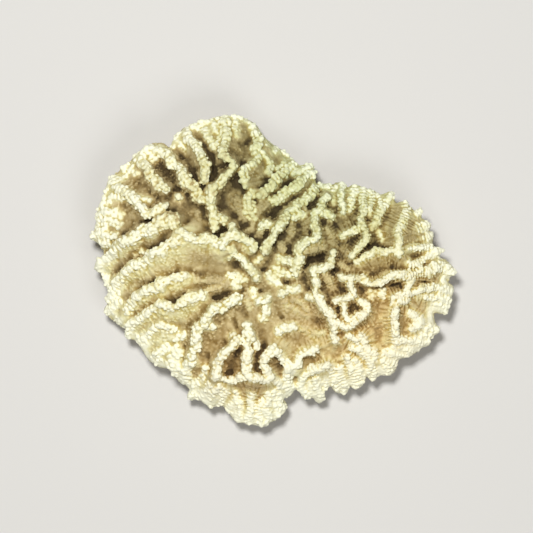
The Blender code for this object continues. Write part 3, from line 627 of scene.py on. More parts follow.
LOWER_LEFT_WALLS = [
    ([(-46, 19.5), (-49, 15), (-54, 12.5), (-59, 9.5), (-62.5, 7.5), (-66, 5), (-70, 3.5), (-73.5, 0.5),
      (-76.5, -2.5), (-79, -6.5), (-80.5, -10.5), (-82.5, -14)],
     2.6, (11, 11, 10, 8, 5, 2), -0.6, (1, 0.9, 0.7, 0.5, 0.2)),
    ([(-84.5, -19.5), (-80, -18), (-76, -15.5)], 1.9, (1.5, 2, 1)),
    ([(-84.5, -3), (-83.5, -6.5), (-82, -10)], 1.9, (1.5, 2)),
    ([(-44, -1), (-48, -1.5), (-52, -2.5), (-55.5, -4.5), (-55.5, -6.5), (-58.5, -8), (-62, -9.5),
      (-66, -10.5), (-69.5, -11.5), (-69.5, -14), (-72, -16), (-72.5, -20)],
     2.6, (7, 9, 10, 8, 3), -0.7, (0.8, 0.7, 0.5, 0.3, 0.1)),
    ([(-36, -12), (-39, -12), (-42, -13.5), (-44.5, -15), (-48, -16.5), (-50.5, -17.5), (-54, -16),
      (-57, -15.5), (-59, -17.5), (-62, -19.5), (-65, -22), (-69, -24), (-71.5, -27), (-73, -31)],
     2.6, (7, 9, 9, 6, 2), -0.6, (0.6, 0.5, 0.4, 0.2, 0)),
    ([(-50, -28), (-54, -25.5), (-58, -26.5), (-61.5, -29), (-64, -31.5), (-67, -34.5)],
     2.4, (4, 6, 5, 2), -0.5, (0.5, 0.3, 0)),
    ([(-45, -32), (-50, -32.5), (-56, -33.5), (-61, -34.5), (-65.5, -37)], 1.7, (2, 3, 2)),
    ([(-53, -36), (-57, -39), (-61, -42.5)], 1.8, (2.5, 3, 2)),
    ([(-48, -37), (-52, -38.5), (-55, -41), (-58.5, -46)], 1.9, (2.5, 3, 2)),
    ([(-48, -39), (-50, -43), (-51, -47), (-51, -51)], 2.8, (4, 4, 2.5)),
    ([(-46.5, -40), (-47.5, -45), (-48, -50), (-48, -53.5)], 1.8, (3, 3, 1.5)),
    ([(-18, -13), (-21, -15.5), (-25, -18), (-29, -18), (-31.5, -20.5), (-34, -23.5), (-35, -26),
      (-37, -29), (-38, -33), (-39, -37), (-40, -41), (-42, -45), (-44, -49), (-45, -53)],
     3, (7, 9, 9, 8, 2.5)),
    ([(-30.5, -26.5), (-33.5, -27), (-36, -27)], 1.8, (5, 7)),
    ([(-33, -48), (-34, -52.5), (-37, -55.5), (-41, -56.5), (-44.5, -54.5)], 2.2, (3, 3, 2)),
    ([(-62, -3), (-66, -5.5), (-70, -8)], 1.5, (1.5, 1.5)),
    ([(-76, -8), (-77.5, -13), (-79, -17)], 1.5, (1.2, 1.2)),
    ([(-75, -22), (-78, -24)], 1.8, (1.5, 1.5)),
    ([(-54, -21), (-58, -21.5), (-62, -24.5), (-65, -28)], 1.5, (1.5, 2, 1.5)),
]
LOWER_LEFT_PITS = [
    (-39, -51, 2.2, 2, 3), (-45, -41, 1.6, 5, 3, -10), (-32, -47, 1.8, 4.5, 4),
    (-41, -10, 4, 1.2, 2, -5), (-45, -20, 7, 1.8, 3, -8),
]
for wall in LOWER_LEFT_WALLS:
    raise_wall(*wall, bead=0.9, clean=3, ragged=0.6)
for pit in LOWER_LEFT_PITS:
    sink_pit(*pit)


# The margin: the colony's growing edge, a low beaded lip of young aragonite all the way round. At the top
# it is thicker and stands as a rim.

LIP_INSET = 3.2
TOP_LIP_INSET = 1.6
TOP_LIP = ((-52, 62), (20.5, 48))
# The colony's real edge, clockwise, with every finger and notch
PLATE_EDGE = [
    (-89, 20), (-89, 25), (-87.5, 32), (-85.5, 37), (-83.5, 42), (-81.5, 47), (-77.5, 49.5),
    (-74.5, 53.5), (-71, 56), (-66, 61), (-60.5, 64), (-56.5, 64.5), (-52, 62), (-49.5, 66),
    (-46, 70.5), (-42.5, 72.5), (-36.5, 75), (-32.5, 76.5), (-24, 78), (-16.5, 78), (-12, 76),
    (-8, 72.5), (-4.5, 68), (1.5, 63), (7, 59), (10, 56), (14, 53.5), (19.5, 54.5), (20.5, 48),
    (21.5, 44), (26, 44.5), (30, 43), (35, 45), (37.5, 42), (41, 43.5), (45.5, 42), (50, 41),
    (54.5, 38.5), (59.5, 39.5), (61.5, 33.5), (66, 35), (70.5, 30), (74, 31), (74, 26.5), (79, 24),
    (77.5, 20.5), (79.5, 19), (80, 13), (85, 11), (82, 7.5), (87, 5.5), (91, 0.5), (87.5, -4.5),
    (90.5, -8.5), (89.5, -13.5), (88, -19), (86.5, -21), (81, -20.5), (81.5, -25), (83.5, -29.5),
    (79.5, -33), (78.5, -36.5), (75, -37.5), (69, -42), (63.5, -44), (60.5, -50.5), (56.5, -51.5),
    (53.5, -51.5), (50.5, -54.5), (47, -52), (45, -56.5), (41.5, -58.5), (38.5, -56.5), (37, -61),
    (31.5, -59.5), (29, -57), (26, -59), (24.5, -57.5), (25.5, -63.5), (23, -66), (20, -63),
    (16.5, -63.5), (13, -59), (9, -58), (8.5, -53), (9.5, -61), (4.5, -64), (6.5, -68), (3.5, -72.5),
    (-1.5, -75.5), (-5, -77.5), (-11.5, -76.5), (-18, -75), (-23, -70), (-26, -67), (-31.5, -68),
    (-37, -64.5), (-42, -64), (-42.5, -62), (-41.5, -59), (-45.5, -56), (-49.5, -52.5), (-52.5, -48.5),
    (-57, -47.5), (-62.5, -44), (-66.5, -37), (-68.5, -33.5), (-73.5, -33), (-74.5, -30.5),
    (-73.5, -28.5), (-78.5, -26.5), (-81.5, -23), (-84.5, -19.5), (-82, -16), (-84, -14), (-82.5, -10),
    (-85, -4), (-84.5, -1), (-88.5, 1), (-89.5, 3), (-87, 6.5), (-84, 9), (-86.5, 13), (-91.5, 17.5),
]


def inset(outline, by):
    """A closed outline moved inwards, point by point."""
    moved = []
    for (x, y), before, after in zip(outline, outline[-1:] + outline[:-1], outline[1:] + outline[:1]):
        ahead = np.array(after) - np.array(before)
        ahead = ahead / np.hypot(*ahead)
        moved.append((x + ahead[1] * by, y - ahead[0] * by))
    return moved


first, last = (PLATE_EDGE.index(place) for place in TOP_LIP)
raise_wall(inset(PLATE_EDGE, TOP_LIP_INSET)[first : last + 1], 2.3, 1, bead=0.9)
low_lip = inset(PLATE_EDGE, LIP_INSET)
raise_wall(low_lip[last:] + low_lip[: first + 1], 1.4, 0.4, bead=0.7)


# The skin: walls and plate grow together, septa run down the sides of the walls and over the valley
# floors, beads sit on every crest, and the whole is slightly uneven, as living tissue lays it down.

PLATE_INSET = 2.6
EDGE_ROUNDING = 3.5
WALL_OVERHANG = 0.5
STALK_FLARE = 7
SEPTUM_RELIEF = 0.4
SEPTUM_FADE = 5
SEPTUM_REACH = 9
SEPTUM_LENGTH = 8
OPEN_LENGTH = 20
MARGIN_FADE = 9
# Septa stand open towards the right and the bottom. Elsewhere they are close, and the stone is lumpier
OPENNESS = 0.35
OPENS_RIGHT = 90
OPENS_BELOW = -30
OPENS_DOWN = 50
LEAST_OPEN = 0.3
MOST_OPEN = 0.9
# Amount, lump size and seed of the unevenness
LUMPS = (0.6, 5, 1)
SMALL_LUMPS = (0.3, 2.6, 3)
ROUGHNESS = (0.12, 1.4, 2)
BEAD_RADIUS = 0.9
CREST_EDGE = 0.9
BEAD_SPACING = 1.75
BEAD_BLEND = 0.5
PLUMP = (0.8, 1.25)
UNEQUAL = (0.7, 1.25)
STRAY_ALONG = 1.1
STRAY = 0.35
FLANK_BEAD = 0.5
FLANK_DULL = 0.25
ROW_REACH = 13
WALK = 0.4
END_TURNS = (45, 90, 135)
BEAD_SEED = 1000
FLOOR_SEED = 5
FLOOR_X = (-92, 93)
FLOOR_Y = (-79, 80)
FLOOR_BEADS = 700
FLOOR_BEAD = (0.45, 0.7)
FLOOR_DULL = 0.35
BEAD_HALO = 0.9
SHINGLE = 0.45


def soft_noise(amount, lump, seed):
    """Soft random relief through the whole volume, up to the amount either way, with lumps of that size."""
    shape = [int(n * GRAIN / lump) + 2 for n in steps]
    relief = np.random.default_rng(seed).uniform(-1, 1, shape).astype(np.float32)
    for axis, n in enumerate(steps):
        place = np.arange(n) * GRAIN / lump
        cell = place.astype(int)
        share = place - cell
        share = share * share * (3 - 2 * share)
        weights = np.zeros((n, shape[axis]), np.float32)
        weights[np.arange(n), cell] = 1 - share
        weights[np.arange(n), cell + 1] = share
        relief = np.moveaxis(np.tensordot(weights, relief, (1, axis)), 0, axis)
    return amount * relief


edge, _ = smooth_way(PLATE_EDGE + PLATE_EDGE[:1], 1)
edge_depth = depth_inside([tuple(place) for place in edge[:-1]], ground_x, ground_y)
stone = smooth_max((up - sunk[:, :, None]) / steepness(sunk)[:, :, None], below_belly, CORNER_BLEND)
stone = smooth_max(stone, (PLATE_INSET - edge_depth)[:, :, None], EDGE_ROUNDING)
stone = smooth_min(stone, wall_distance, FOOT_FILLET)
stone = smooth_max(stone, below_belly, CORNER_BLEND)
stone = smooth_max(stone, (-WALL_OVERHANG - edge_depth)[:, :, None], CORNER_BLEND)
rightwards = ground_x / OPENS_RIGHT
downwards = np.maximum(OPENS_BELOW - ground_y, 0) / OPENS_DOWN
open_septa = np.clip(OPENNESS + rightwards + downwards, LEAST_OPEN, MOST_OPEN).astype(np.float32)
openness = open_septa[:, :, None]
# Close septa begin further from the crest than open ones and end sooner
septa = np.cos(septum_phase * (2 * math.pi))
near_wall = np.exp(-np.clip(wall_distance, 0, NO_WALL) / SEPTUM_FADE)
septa *= near_wall * np.clip((SEPTUM_REACH - wall_distance) / 3, 0, 1)
septa *= np.clip((crest_distance - 1) / 2 + 1.2 * openness - 0.8, 0, 1)
septa *= np.exp(-crest_distance / (SEPTUM_LENGTH + OPEN_LENGTH * openness))
septa *= openness * np.clip(edge_depth / MARGIN_FADE, 0.3, 1)[:, :, None]
septa *= np.clip((up - belly[:, :, None] - 2) / 2, 0, 1)
stone -= SEPTUM_RELIEF * septa
del septa, near_wall
stone += (soft_noise(*LUMPS) + soft_noise(*SMALL_LUMPS)) * (1.3 - 0.7 * openness)

filled = stone[:, :, ::-1] < 0
top_cell = stone.shape[2] - 1 - filled.argmax(2)
ground_top = np.where(filled.any(2), axes[2][np.minimum(top_cell, stone.shape[2] - 1)], np.nan)
del filled
beads = []


def string_beads(x, y, way_x, way_y, thick, number, size, dull, kept, chance):
    """A septum's row of beads, from the crest down the wall's side to the foot of the next wall. Thick is
    the wall's half-width, and kept the share of the beads that its flank keeps."""
    outs = np.arange(0, ROW_REACH, WALK)
    cells = ground_cell(np.column_stack((x + way_x * outs, y + way_y * outs)))
    heights = ground_top[cells]
    ends = np.flatnonzero(np.isnan(heights))
    if len(ends):
        outs, heights = outs[: ends[0]], heights[: ends[0]]
    if len(outs) < 2:
        return
    along = np.concatenate(([0], np.cumsum(np.hypot(WALK, np.diff(heights)))))
    at = chance.uniform(0, 0.5) * BEAD_SPACING
    plump = chance.uniform(*PLUMP)
    while at < min(along[-1], ROW_REACH * 1.3):
        out, height = np.interp(at, along, outs), np.interp(at, along, heights)
        down = min(max((at - thick - CREST_EDGE * size) / 0.8, 0), 1)
        stretch = 1 + (1 - down) * SHINGLE * max(size - 0.8, 0)
        place = np.array((x + way_x * out, y + way_y * out, height))
        loose = 1 - 0.65 * open_septa[ground_cell(place[None, :2])][0]
        stray = chance.uniform(-1, 1, 3)
        place[:2] += (STRAY_ALONG - 0.3 * down) * loose * stray[0] * np.array((way_y, -way_x))
        place += STRAY * stray * (1 - 0.5 * down) * (0.4 + loose)
        cell = tuple(
            int(min(max(round((value - low) / GRAIN), 0), n - 1))
            for value, low, n in zip(place, VOLUME_LOW, steps)
        )
        if owner[cell] not in (number, -1):
            return
        radius = ((1 - down) * BEAD_RADIUS * size + down * FLANK_BEAD) * plump * chance.uniform(*UNEQUAL)
        if stone[cell] < 0.5 and chance.random() < 1 - (1 - kept) * down:
            lie = 1 - 1 / stretch**2
            shade = max(FLANK_DULL * down, dull)
            beads.append((*place[:2], place[2] - 0.25 * down * radius, radius, shade, way_x, way_y, lie))
        at += BEAD_SPACING * size * (1 - 0.25 * down) * stretch


for number, (way, gone, left, half, size, pitch, dull, kept) in enumerate(walls_grown):
    chance = np.random.default_rng(BEAD_SEED + number)
    for at in np.arange(0, gone[-1], pitch):
        x, y, way_x, way_y, thick = (np.interp(at, gone, row) for row in (*way.T, *left.T, half))
        string_beads(x, y, way_x, way_y, thick, number, size, dull, kept, chance)
        string_beads(x, y, -way_x, -way_y, thick, number, size, dull, kept, chance)
    for (x, y), (way_x, way_y) in ((way[0], left[0]), (way[-1], -left[-1])):
        for turn in END_TURNS:
            c, s = math.cos(math.radians(turn)), math.sin(math.radians(turn))
            out_x, out_y = c * way_x - s * way_y, s * way_x + c * way_y
            string_beads(x, y, out_x, out_y, half[0], number, size, dull, kept, chance)
chance = np.random.default_rng(FLOOR_SEED)
for x, y in zip(chance.uniform(*FLOOR_X, FLOOR_BEADS), chance.uniform(*FLOOR_Y, FLOOR_BEADS)):
    cell = tuple(int(round((value - low) / GRAIN)) for value, low in zip((x, y), VOLUME_LOW))
    if not np.isnan(ground_top[cell]):
        radius = chance.uniform(*FLOOR_BEAD)
        beads.append((x, y, ground_top[cell] - 0.35 * radius, radius, FLOOR_DULL, 1, 0, 0))
between = np.full(steps, 1, np.float32)
for x, y, z, size, dull, way_x, way_y, lie in beads:
    reach = size / math.sqrt(1 - lie) + BEAD_HALO
    part = window(
        (x - reach, y - reach, z - size - BEAD_HALO), (x + reach, y + reach, z + size + BEAD_HALO)
    )
    far_x = axes[0][part[0]][:, None] - x
    far_y = axes[1][part[1]][None, :] - y
    far_z = axes[2][part[2]] - z
    flat = far_x**2 + far_y**2 - lie * (far_x * way_x + far_y * way_y) ** 2
    ball = np.sqrt(flat[:, :, None] + far_z**2) - size
    stone[part] = smooth_min(stone[part], ball, BEAD_BLEND)
    np.minimum(between[part], np.maximum(ball, 0) + dull, out=between[part])
stone += soft_noise(*ROUGHNESS)
stone = smooth_min(stone, stalk, STALK_FLARE)
stone = np.maximum(stone, -up)


# Skeleton material: bleached aragonite, the stone of all corals, grown, dead, washed and sun-dried. It is
#  matt and chalky, near white where the crests were rubbed clean, cream down the sides, and tan to brown
#  in the valleys, where dried tissue and silt stay. Enclosed hollows, crevices and grooves are painted
#  darker still, as shade.

CREST_CREAM = "#F8F7DB"
SIDE_CREAM = "#E2DCA8"
VALLEY_TAN = "#C9B888"
VALLEY_BROWN = "#9E8A5C"
# The darkest stop, reached in enclosed pits, is mostly painted shade over some real stain
PIT_STAIN_AND_SHADE_BROWN = "#4A3B18"
# Painted shade, with silt, between the beads
CREVICE_SILT_AND_SHADE_TAN = "#D4C799"
# Painted shade, with stain, in the grooves between septa
GROOVE_STAIN_AND_SHADE_TAN = "#CFC297"
# Painted shade on the underside
UNDER_SHADE_GREY = "#CFC4A4"
ARAGONITE_IOR = 1.53
# Broad casts over the colony: a green one of old algae at the top, warm ones at the lower right and the
# bottom, and pale ones at the right and the lower left. Each has its colour, its centre and reach in
# metres, its strength, and what it adds to the stain
CASTS = [
    ("#DAEEDC", (0.02, 0.055, 0.03), 0.085, 0.7, 0.1),
    ("#FFEEDA", (0.048, -0.03, 0.03), 0.055, 0.9, -0.1),
    ("#F6F3DF", (0.06, 0.014, 0.03), 0.045, 0.6, 0.07),
    ("#FFEEDC", (-0.018, -0.05, 0.03), 0.035, 0.8, 0.08),
    ("#FFF8E6", (-0.06, -0.015, 0.03), 0.045, 0.3, 0.1),
]


def linear(colour):
    """An sRGB hex colour as linear values."""
    values = [int(colour[i : i + 2], 16) / 255 for i in (1, 3, 5)]
    return (*(v / 12.92 if v <= 0.04045 else ((v + 0.055) / 1.055) ** 2.4 for v in values), 1)


def add_node(tree, kind, sockets=(), out=0, **settings):
    """Adds a shader node with its settings, and links or sets its inputs, given in their order or with
    their names. Returns one of its outputs."""
    node = tree.nodes.new("ShaderNode" + kind)
    for name, value in settings.items():
        setattr(node, name, value)
    for socket, source in sockets.items() if isinstance(sockets, dict) else enumerate(sockets):
        if isinstance(source, bpy.types.NodeSocket):
            tree.links.new(source, node.inputs[socket])
        else:
            node.inputs[socket].default_value = source
    return node.outputs[out]


def bleached_aragonite():
    """The skeleton's finish. Its colour follows how far a point is from a crest, and painted shade darkens
    it where it is enclosed.
    """
    material = bpy.data.materials.new("bleached aragonite skeleton")
    material.use_nodes = True
    tree = material.node_tree
    shader = tree.nodes["Principled BSDF"]
    shader.inputs["IOR"].default_value = ARAGONITE_IOR
    place = add_node(tree, "TexCoord", out="Object")
    northing = add_node(tree, "SeparateXYZ", (place,), "Y")
    # The enclosed and crevice facts carry painted shade along with silt
    from_crest, enclosed_shade_and_silt, crevice_silt_and_shade, between, septum, ribbing, inland, under = (
        add_node(tree, "Attribute", out="Fac", attribute_name=fact)
        for fact in ("from_crest", "enclosed_shade_and_silt", "crevice_silt_and_shade", "between", "septum", "ribbing", "inland", "under")
    )
    # Silt and old tissue dry in patches of some millimetres, and in specks of about one
    patches = add_node(tree, "TexNoise", {"Vector": place, "Scale": 110, "Detail": 5, "Roughness": 0.6})
    specks = add_node(tree, "TexNoise", {"Vector": place, "Scale": 800, "Detail": 3, "Roughness": 0.6})
    # The beads are rubbed clean. The stone between them and down the sides keeps its stain. Each range is
    # a value, its two ends, and what these become
    far = add_node(tree, "MapRange", (from_crest, 1.2, 3.8, 0.18, 0.55))
    matrix = add_node(tree, "MapRange", (between, 0.02, 0.4, 0.1, 1))
    stain = add_node(tree, "Math", (far, matrix), operation="MULTIPLY")
    # Painted shade, with some stain, darkens enclosed places. More stain lies in patches and specks, and
    # the colour darkens towards
    #  the top. The margin grew last and is the cleanest, above all at its tips
    for stained in (
        (enclosed_shade_and_silt, 0.55, 0.77, 0, 0.46),
        (patches, 0, 1, -0.22, 0.22),
        (specks, 0, 1, -0.1, 0.1),
        (inland, 0, 40, -0.08, 0.05),
        (inland, 0, 7, -0.14, 0),
        (northing, -0.06, 0.07, -0.1, 0.165),
    ):
        stain = add_node(tree, "Math", (stain, add_node(tree, "MapRange", stained)), operation="ADD")
    casts = []
    for cast, centre, reach, strength, staining in CASTS:
        gone = add_node(tree, "VectorMath", (place, centre), "Value", operation="DISTANCE")
        near = add_node(tree, "MapRange", (gone, reach, 0, 0, 1), interpolation_type="SMOOTHSTEP")
        stain = add_node(tree, "Math", (near, staining, stain), operation="MULTIPLY_ADD")
        casts.append((cast, add_node(tree, "Math", (near, strength), operation="MULTIPLY")))
    colour = add_node(tree, "ValToRGB", (stain,))
    stops = colour.node.color_ramp.elements
    stops[0].position = 0.1
    for at in (0.3, 0.52, 0.78):
        stops.new(at)
    for stop, tone in zip(stops, (CREST_CREAM, SIDE_CREAM, VALLEY_TAN, VALLEY_BROWN, PIT_STAIN_AND_SHADE_BROWN)):
        stop.color = linear(tone)
    # Silt and painted shade in the crevices between the beads: they are painted darker, less so at the
    # lower margin and more towards the top
    gap = add_node(tree, "MapRange", (crevice_silt_and_shade, 0.03, -0.16, 0, 1))
    cleaned = add_node(tree, "MapRange", (inland, 0, 14, 0.35, 1))
    north = add_node(tree, "MapRange", (northing, -0.02, 0.05, 0, 0.65))
    silt_and_shade = add_node(tree, "Math", (cleaned, north), operation="ADD", use_clamp=True)
    gap = add_node(tree, "Math", (gap, silt_and_shade), operation="MULTIPLY")
    # Fine septa run down the sides, one for each bead, and the grooves between them are painted darker, as
    # stain and shade
    turned = add_node(tree, "Math", (patches, 0.6, septum), operation="MULTIPLY_ADD")
    turned = add_node(tree, "Math", (turned, 2 * math.pi), operation="MULTIPLY")
    ridge = add_node(tree, "Math", (turned,), operation="COSINE")
    groove_stain_and_shade = add_node(tree, "MapRange", (ridge, 0.4, -1, 0, 1))
    broken = add_node(tree, "MapRange", (specks, 0.35, 0.6, 0, 0.5))
    for share in (ribbing, broken):
        groove_stain_and_shade = add_node(tree, "Math", (groove_stain_and_shade, share), operation="MULTIPLY")
    # The crests take less of the casts
    held = add_node(tree, "MapRange", (stain, 0.05, 0.4, 0.35, 1))
    layers = [(gap, CREVICE_SILT_AND_SHADE_TAN), (groove_stain_and_shade, GROOVE_STAIN_AND_SHADE_TAN)]
    for cast, near in casts:
        layers.append((add_node(tree, "Math", (near, held), operation="MULTIPLY"), cast))
    for share, tint in layers:
        colour = add_node(
            tree, "Mix", {0: share, 6: colour, 7: linear(tint)}, 2, data_type="RGBA", blend_type="MULTIPLY"
        )
    # Painted shade: the underside, away from the light, is painted duller and greyer
    colour = add_node(tree, "Mix", {0: under, 6: colour, 7: linear(UNDER_SHADE_GREY)}, 2, data_type="RGBA")
    tree.links.new(colour, shader.inputs["Base Color"])
    rough = add_node(tree, "MapRange", (specks, 0, 1, 0.78, 0.95))
    tree.links.new(rough, shader.inputs["Roughness"])
    # Pores about two thirds of a millimetre apart
    pores = add_node(tree, "TexVoronoi", {"Vector": place, "Scale": 1500}, "Distance")
    grit = add_node(tree, "Bump", {"Height": pores, "Strength": 0.4, "Distance": 0.0003})
    ridge = add_node(tree, "Math", (ridge, ribbing), operation="MULTIPLY")
    relief = add_node(tree, "Bump", {"Height": ridge, "Strength": 0.4, "Distance": 0.0003, "Normal": grit})
    tree.links.new(relief, shader.inputs["Normal"])
    return material


aragonite = bleached_aragonite()


# Parting: the colony is one skeleton. Here it is turned to mesh piece by piece, the heart and the six fans,
# each up to the valleys where it forks from its neighbours, so that they meet without a step.

HEART_RING = [
    (12, -33), (31, -20), (36, -4), (30, 14), (14, 25), (-2, 29), (-34, 30), (-46, 16), (-39, -10),
    (-22, -30),
]
FORKS = {
    "bottom_right": [(12, -33), (10, -44), (10.5, -52), (10, -60), (12, -100)],
    "right": [(36, -4), (44, -8), (50, -9.5), (57, -7), (64, -4.8), (72, -4.2), (80, -5.6), (120, -5)],
    "top_right": [(-2, 29), (6, 33), (12, 38), (17, 42.5), (21, 45.5), (30, 54), (70, 100)],
    "top_left": [(-34, 30), (-33.5, 37), (-37, 43), (-41, 50), (-46, 57), (-53, 64), (-80, 100)],
    "left": [
        (-46, 16), (-52, 12.5), (-57, 10.5), (-62, 7.5), (-69, 4.5), (-77, -1), (-84, -1.5), (-120, -4),
    ],
    "bottom_left": [(-22, -30), (-26, -36), (-30, -42), (-32, -47), (-33, -54), (-38, -58.5), (-60, -100)],
}
FANS = {
    "right_fan": ("right", "top_right"),
    "top_fan": ("top_right", "top_left"),
    "upper_left_fan": ("top_left", "left"),
    "lower_left_fan": ("left", "bottom_left"),
    "bottom_fan": ("bottom_left", "bottom_right"),
    "lower_right_fan": ("bottom_right", "right"),
}
SEAM_OVERLAP = 1
SEAM_DIVE = 0.6
SEAM_MARGIN = 2
OUTSIDE = 2.0
VALLEY_BLUR = 3.2
CREVICE_BLUR = 1.3
SEPTUM_MERGE = 1.5
BARE_CREST = 1.5
KEPT_SHARE = 0.66
MOST_TRIANGLES = 190000
SHARPEST = 70
MM = 0.001


def fan_ground(first, second):
    """The ground between two fork lines, outside the ring round the heart."""
    way_out = FORKS[first]
    way_back = FORKS[second][::-1]
    start = HEART_RING.index(way_back[-1])
    end = HEART_RING.index(way_out[0])
    between = []
    while start != end:
        start = (start - 1) % len(HEART_RING)
        if start != end:
            between.append(HEART_RING[start])
    return way_out + way_back + between


def blurred(volume, size):
    """The volume's mean around each cell, the size in cells."""
    reach = math.ceil(2.5 * size)
    weights = np.exp(-0.5 * (np.arange(-reach, reach + 1) / size) ** 2)
    weights /= weights.sum()
    for axis in range(3):
        length = volume.shape[axis]
        padded = np.pad(volume, [(reach, reach) if a == axis else (0, 0) for a in range(3)], mode="edge")
        padded = np.moveaxis(padded, axis, 0)
        volume = np.moveaxis(sum(w * padded[i : i + length] for i, w in enumerate(weights)), 0, axis)
    return volume


def sampled(volume, places, grain=GRAIN):
    """A volume's value at each place, between its cells."""
    place = (places - np.array(VOLUME_LOW[: places.shape[1]])) / grain
    cell = np.clip(place.astype(int), 0, np.array(volume.shape) - 2)
    share = np.clip(place - cell, 0, 1)
    total = np.zeros(len(places))
    for corner in np.ndindex(*(2,) * places.shape[1]):
        weight = np.prod([share[:, a] if bit else 1 - share[:, a] for a, bit in enumerate(corner)], axis=0)
        total += weight * volume[tuple(cell[:, a] + bit for a, bit in enumerate(corner))]
    return total


def largest_body(count, faces):
    """Which vertices belong to the largest connected body."""
    label = np.arange(count)
    pairs = np.vstack([faces[:, (i, (i + 1) % faces.shape[1])] for i in range(faces.shape[1])])
    while True:
        low = np.minimum(label[pairs[:, 0]], label[pairs[:, 1]])
        fresh = label.copy()
        np.minimum.at(fresh, pairs[:, 0], low)
        np.minimum.at(fresh, pairs[:, 1], low)
        fresh = fresh[fresh]
        if (fresh == label).all():
            break
        label = fresh
    names, sizes = np.unique(label, return_counts=True)
    return label == names[sizes.argmax()]


# Painted shade, with silt: how deep each point lies in a crevice, which the material paints darker
crevice_silt_and_shade = blurred(stone, CREVICE_BLUR) - stone
# How enclosed each point is, which the material paints darker as shade
solid = np.clip(0.5 - stone / GRAIN, 0, 1)
enclosed_shade_and_silt = blurred(solid[::2, ::2, ::2], VALLEY_BLUR / (2 * GRAIN))
del solid


def part_colony(name, ground):
    """The share of the skeleton that stands on one outline, as a mesh on its CAD node's place."""
    inside = depth_inside(ground, ground_x, ground_y)
    covered = inside > -SEAM_MARGIN
    rows = np.flatnonzero(covered.any(1))
    columns = np.flatnonzero(covered.any(0))
    x = slice(rows[0], rows[-1] + 1)
    y = slice(columns[0], columns[-1] + 1)
    outside = -inside[x, y, None]
    block = np.maximum(stone[x, y] + SEAM_DIVE * np.maximum(outside, 0), outside - SEAM_OVERLAP)
    block = np.pad(block, 1, constant_values=OUTSIDE)
    grid = openvdb.FloatGrid(background=OUTSIDE)
    grid.copyFromArray(block)
    points, quads = grid.convertToQuads()
    keep = largest_body(len(points), quads)
    quads = quads[keep[quads].all(1)]
    fresh = np.cumsum(keep) - 1
    places = (points[keep] + np.array((x.start, y.start, 0)) - 1) * GRAIN + np.array(VOLUME_LOW)
    faces = fresh[quads]
    mesh = bpy.data.meshes.new(name)
    mesh.from_pydata(places * MM, [], faces, shade_flat=False)
    piece = bpy.data.objects.new(name, mesh)
    bpy.context.scene.collection.objects.link(piece)
    thinner = piece.modifiers.new("thin out the even parts", "DECIMATE")
    thinner.ratio = min(KEPT_SHARE, MOST_TRIANGLES / (2 * len(faces)))
    mesh = bpy.data.meshes.new_from_object(piece.evaluated_get(bpy.context.evaluated_depsgraph_get()))
    piece.modifiers.clear()
    piece.data = mesh
    mesh.name = name
    mesh.validate()
    mesh.set_sharp_from_angle(angle=math.radians(SHARPEST))
    places = np.empty(len(mesh.vertices) * 3, np.float32)
    mesh.vertices.foreach_get("co", places)
    places = places.reshape(-1, 3) / MM
    ground_places = places[:, :2]
    near_wall = np.exp(-np.clip(sampled(wall_distance, places), 0, NO_WALL) / SEPTUM_FADE)
    below_crest = np.clip((sampled(crest_distance, places) - BARE_CREST) / BARE_CREST, 0, 1)
    apart = np.clip(sampled(rival, places) / SEPTUM_MERGE, 0, 1)
    inland = sampled(edge_depth, ground_places)
    facts = {
        "septum": sampled(septum_phase, places),
        "ribbing": near_wall * below_crest * sampled(open_septa, ground_places) * apart
        * np.clip(inland / MARGIN_FADE, 0.2, 1),
        "from_crest": sampled(crest_distance, places),
        "enclosed_shade_and_silt": sampled(enclosed_shade_and_silt, places, 2 * GRAIN),
        "crevice_silt_and_shade": sampled(crevice_silt_and_shade, places),
        "between": sampled(between, places),
        "inland": inland,
        "under": np.clip((sampled(belly, ground_places) + 2.5 - places[:, 2]) / 2, 0, 1),
    }
    for fact, values in facts.items():
        mesh.attributes.new(fact, "FLOAT", "POINT").data.foreach_set("value", values.astype(np.float32))
    mesh.materials.append(aragonite)
    return piece


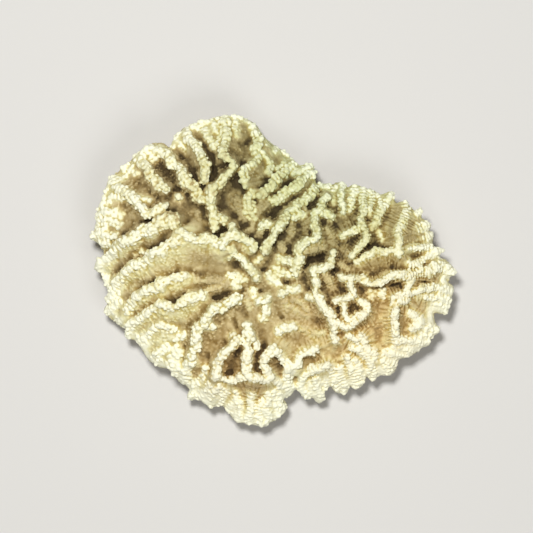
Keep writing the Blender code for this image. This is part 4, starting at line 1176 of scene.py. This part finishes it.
grounds = {"heart": HEART_RING}
for fan, forks in FANS.items():
    grounds[fan] = fan_ground(*forks)
for node, ground in grounds.items():
    piece = part_colony("coral_" + node, ground)
    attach(piece, "root")
    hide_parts(node)


# Floor, light and camera: a pale studio table under broad soft light, seen from straight above, as the
# photograph was taken.

FLOOR_PALE = "#D4D2CD"
TABLE_SIZE = 6
ROOM_LIGHT = 0.1
SENSOR_WIDTH = 36
CAMERA_DISTANCE = 1.5
PICTURE_WIDTH_MM = 266.5
PICTURE_CENTRE_MM = (-3.25, 2.75)
PICTURE_LEVEL = 0.03

bpy.ops.mesh.primitive_plane_add(size=TABLE_SIZE)
table = bpy.context.object
table.name = "table"
paint = bpy.data.materials.new("matt pale board")
paint.use_nodes = True
coat = paint.node_tree.nodes["Principled BSDF"].inputs
coat["Base Color"].default_value = linear(FLOOR_PALE)
coat["Roughness"].default_value = 0.9
table.data.materials.append(paint)


def softbox(name, place, size, power):
    """A square soft light aimed at the coral."""
    light = bpy.data.lights.new(name, "AREA")
    light.size = size
    light.energy = power
    lamp = bpy.data.objects.new(name, light)
    lamp.location = place
    lamp.rotation_euler = (-lamp.location).to_track_quat("-Z", "Y").to_euler()
    bpy.context.scene.collection.objects.link(lamp)


softbox("key light", place=(-0.15, 0.3, 1.38), size=0.2, power=18)
softbox("fill light", place=(0.4, -0.8, 1.2), size=0.8, power=6.3)

sky = bpy.data.worlds.new("soft white room")
sky.use_nodes = True
glow = sky.node_tree.nodes["Background"].inputs
glow["Color"].default_value = (1, 1, 1, 1)
glow["Strength"].default_value = ROOM_LIGHT
bpy.context.scene.world = sky
bpy.context.scene.view_settings.view_transform = "Standard"

view = bpy.data.cameras.new("camera")
view.sensor_width = SENSOR_WIDTH
view.lens = view.sensor_width * (CAMERA_DISTANCE - PICTURE_LEVEL) / (PICTURE_WIDTH_MM * MM)
camera = bpy.data.objects.new("camera", view)
camera.location = (PICTURE_CENTRE_MM[0] * MM, PICTURE_CENTRE_MM[1] * MM, CAMERA_DISTANCE)
bpy.context.scene.collection.objects.link(camera)
bpy.context.scene.camera = camera
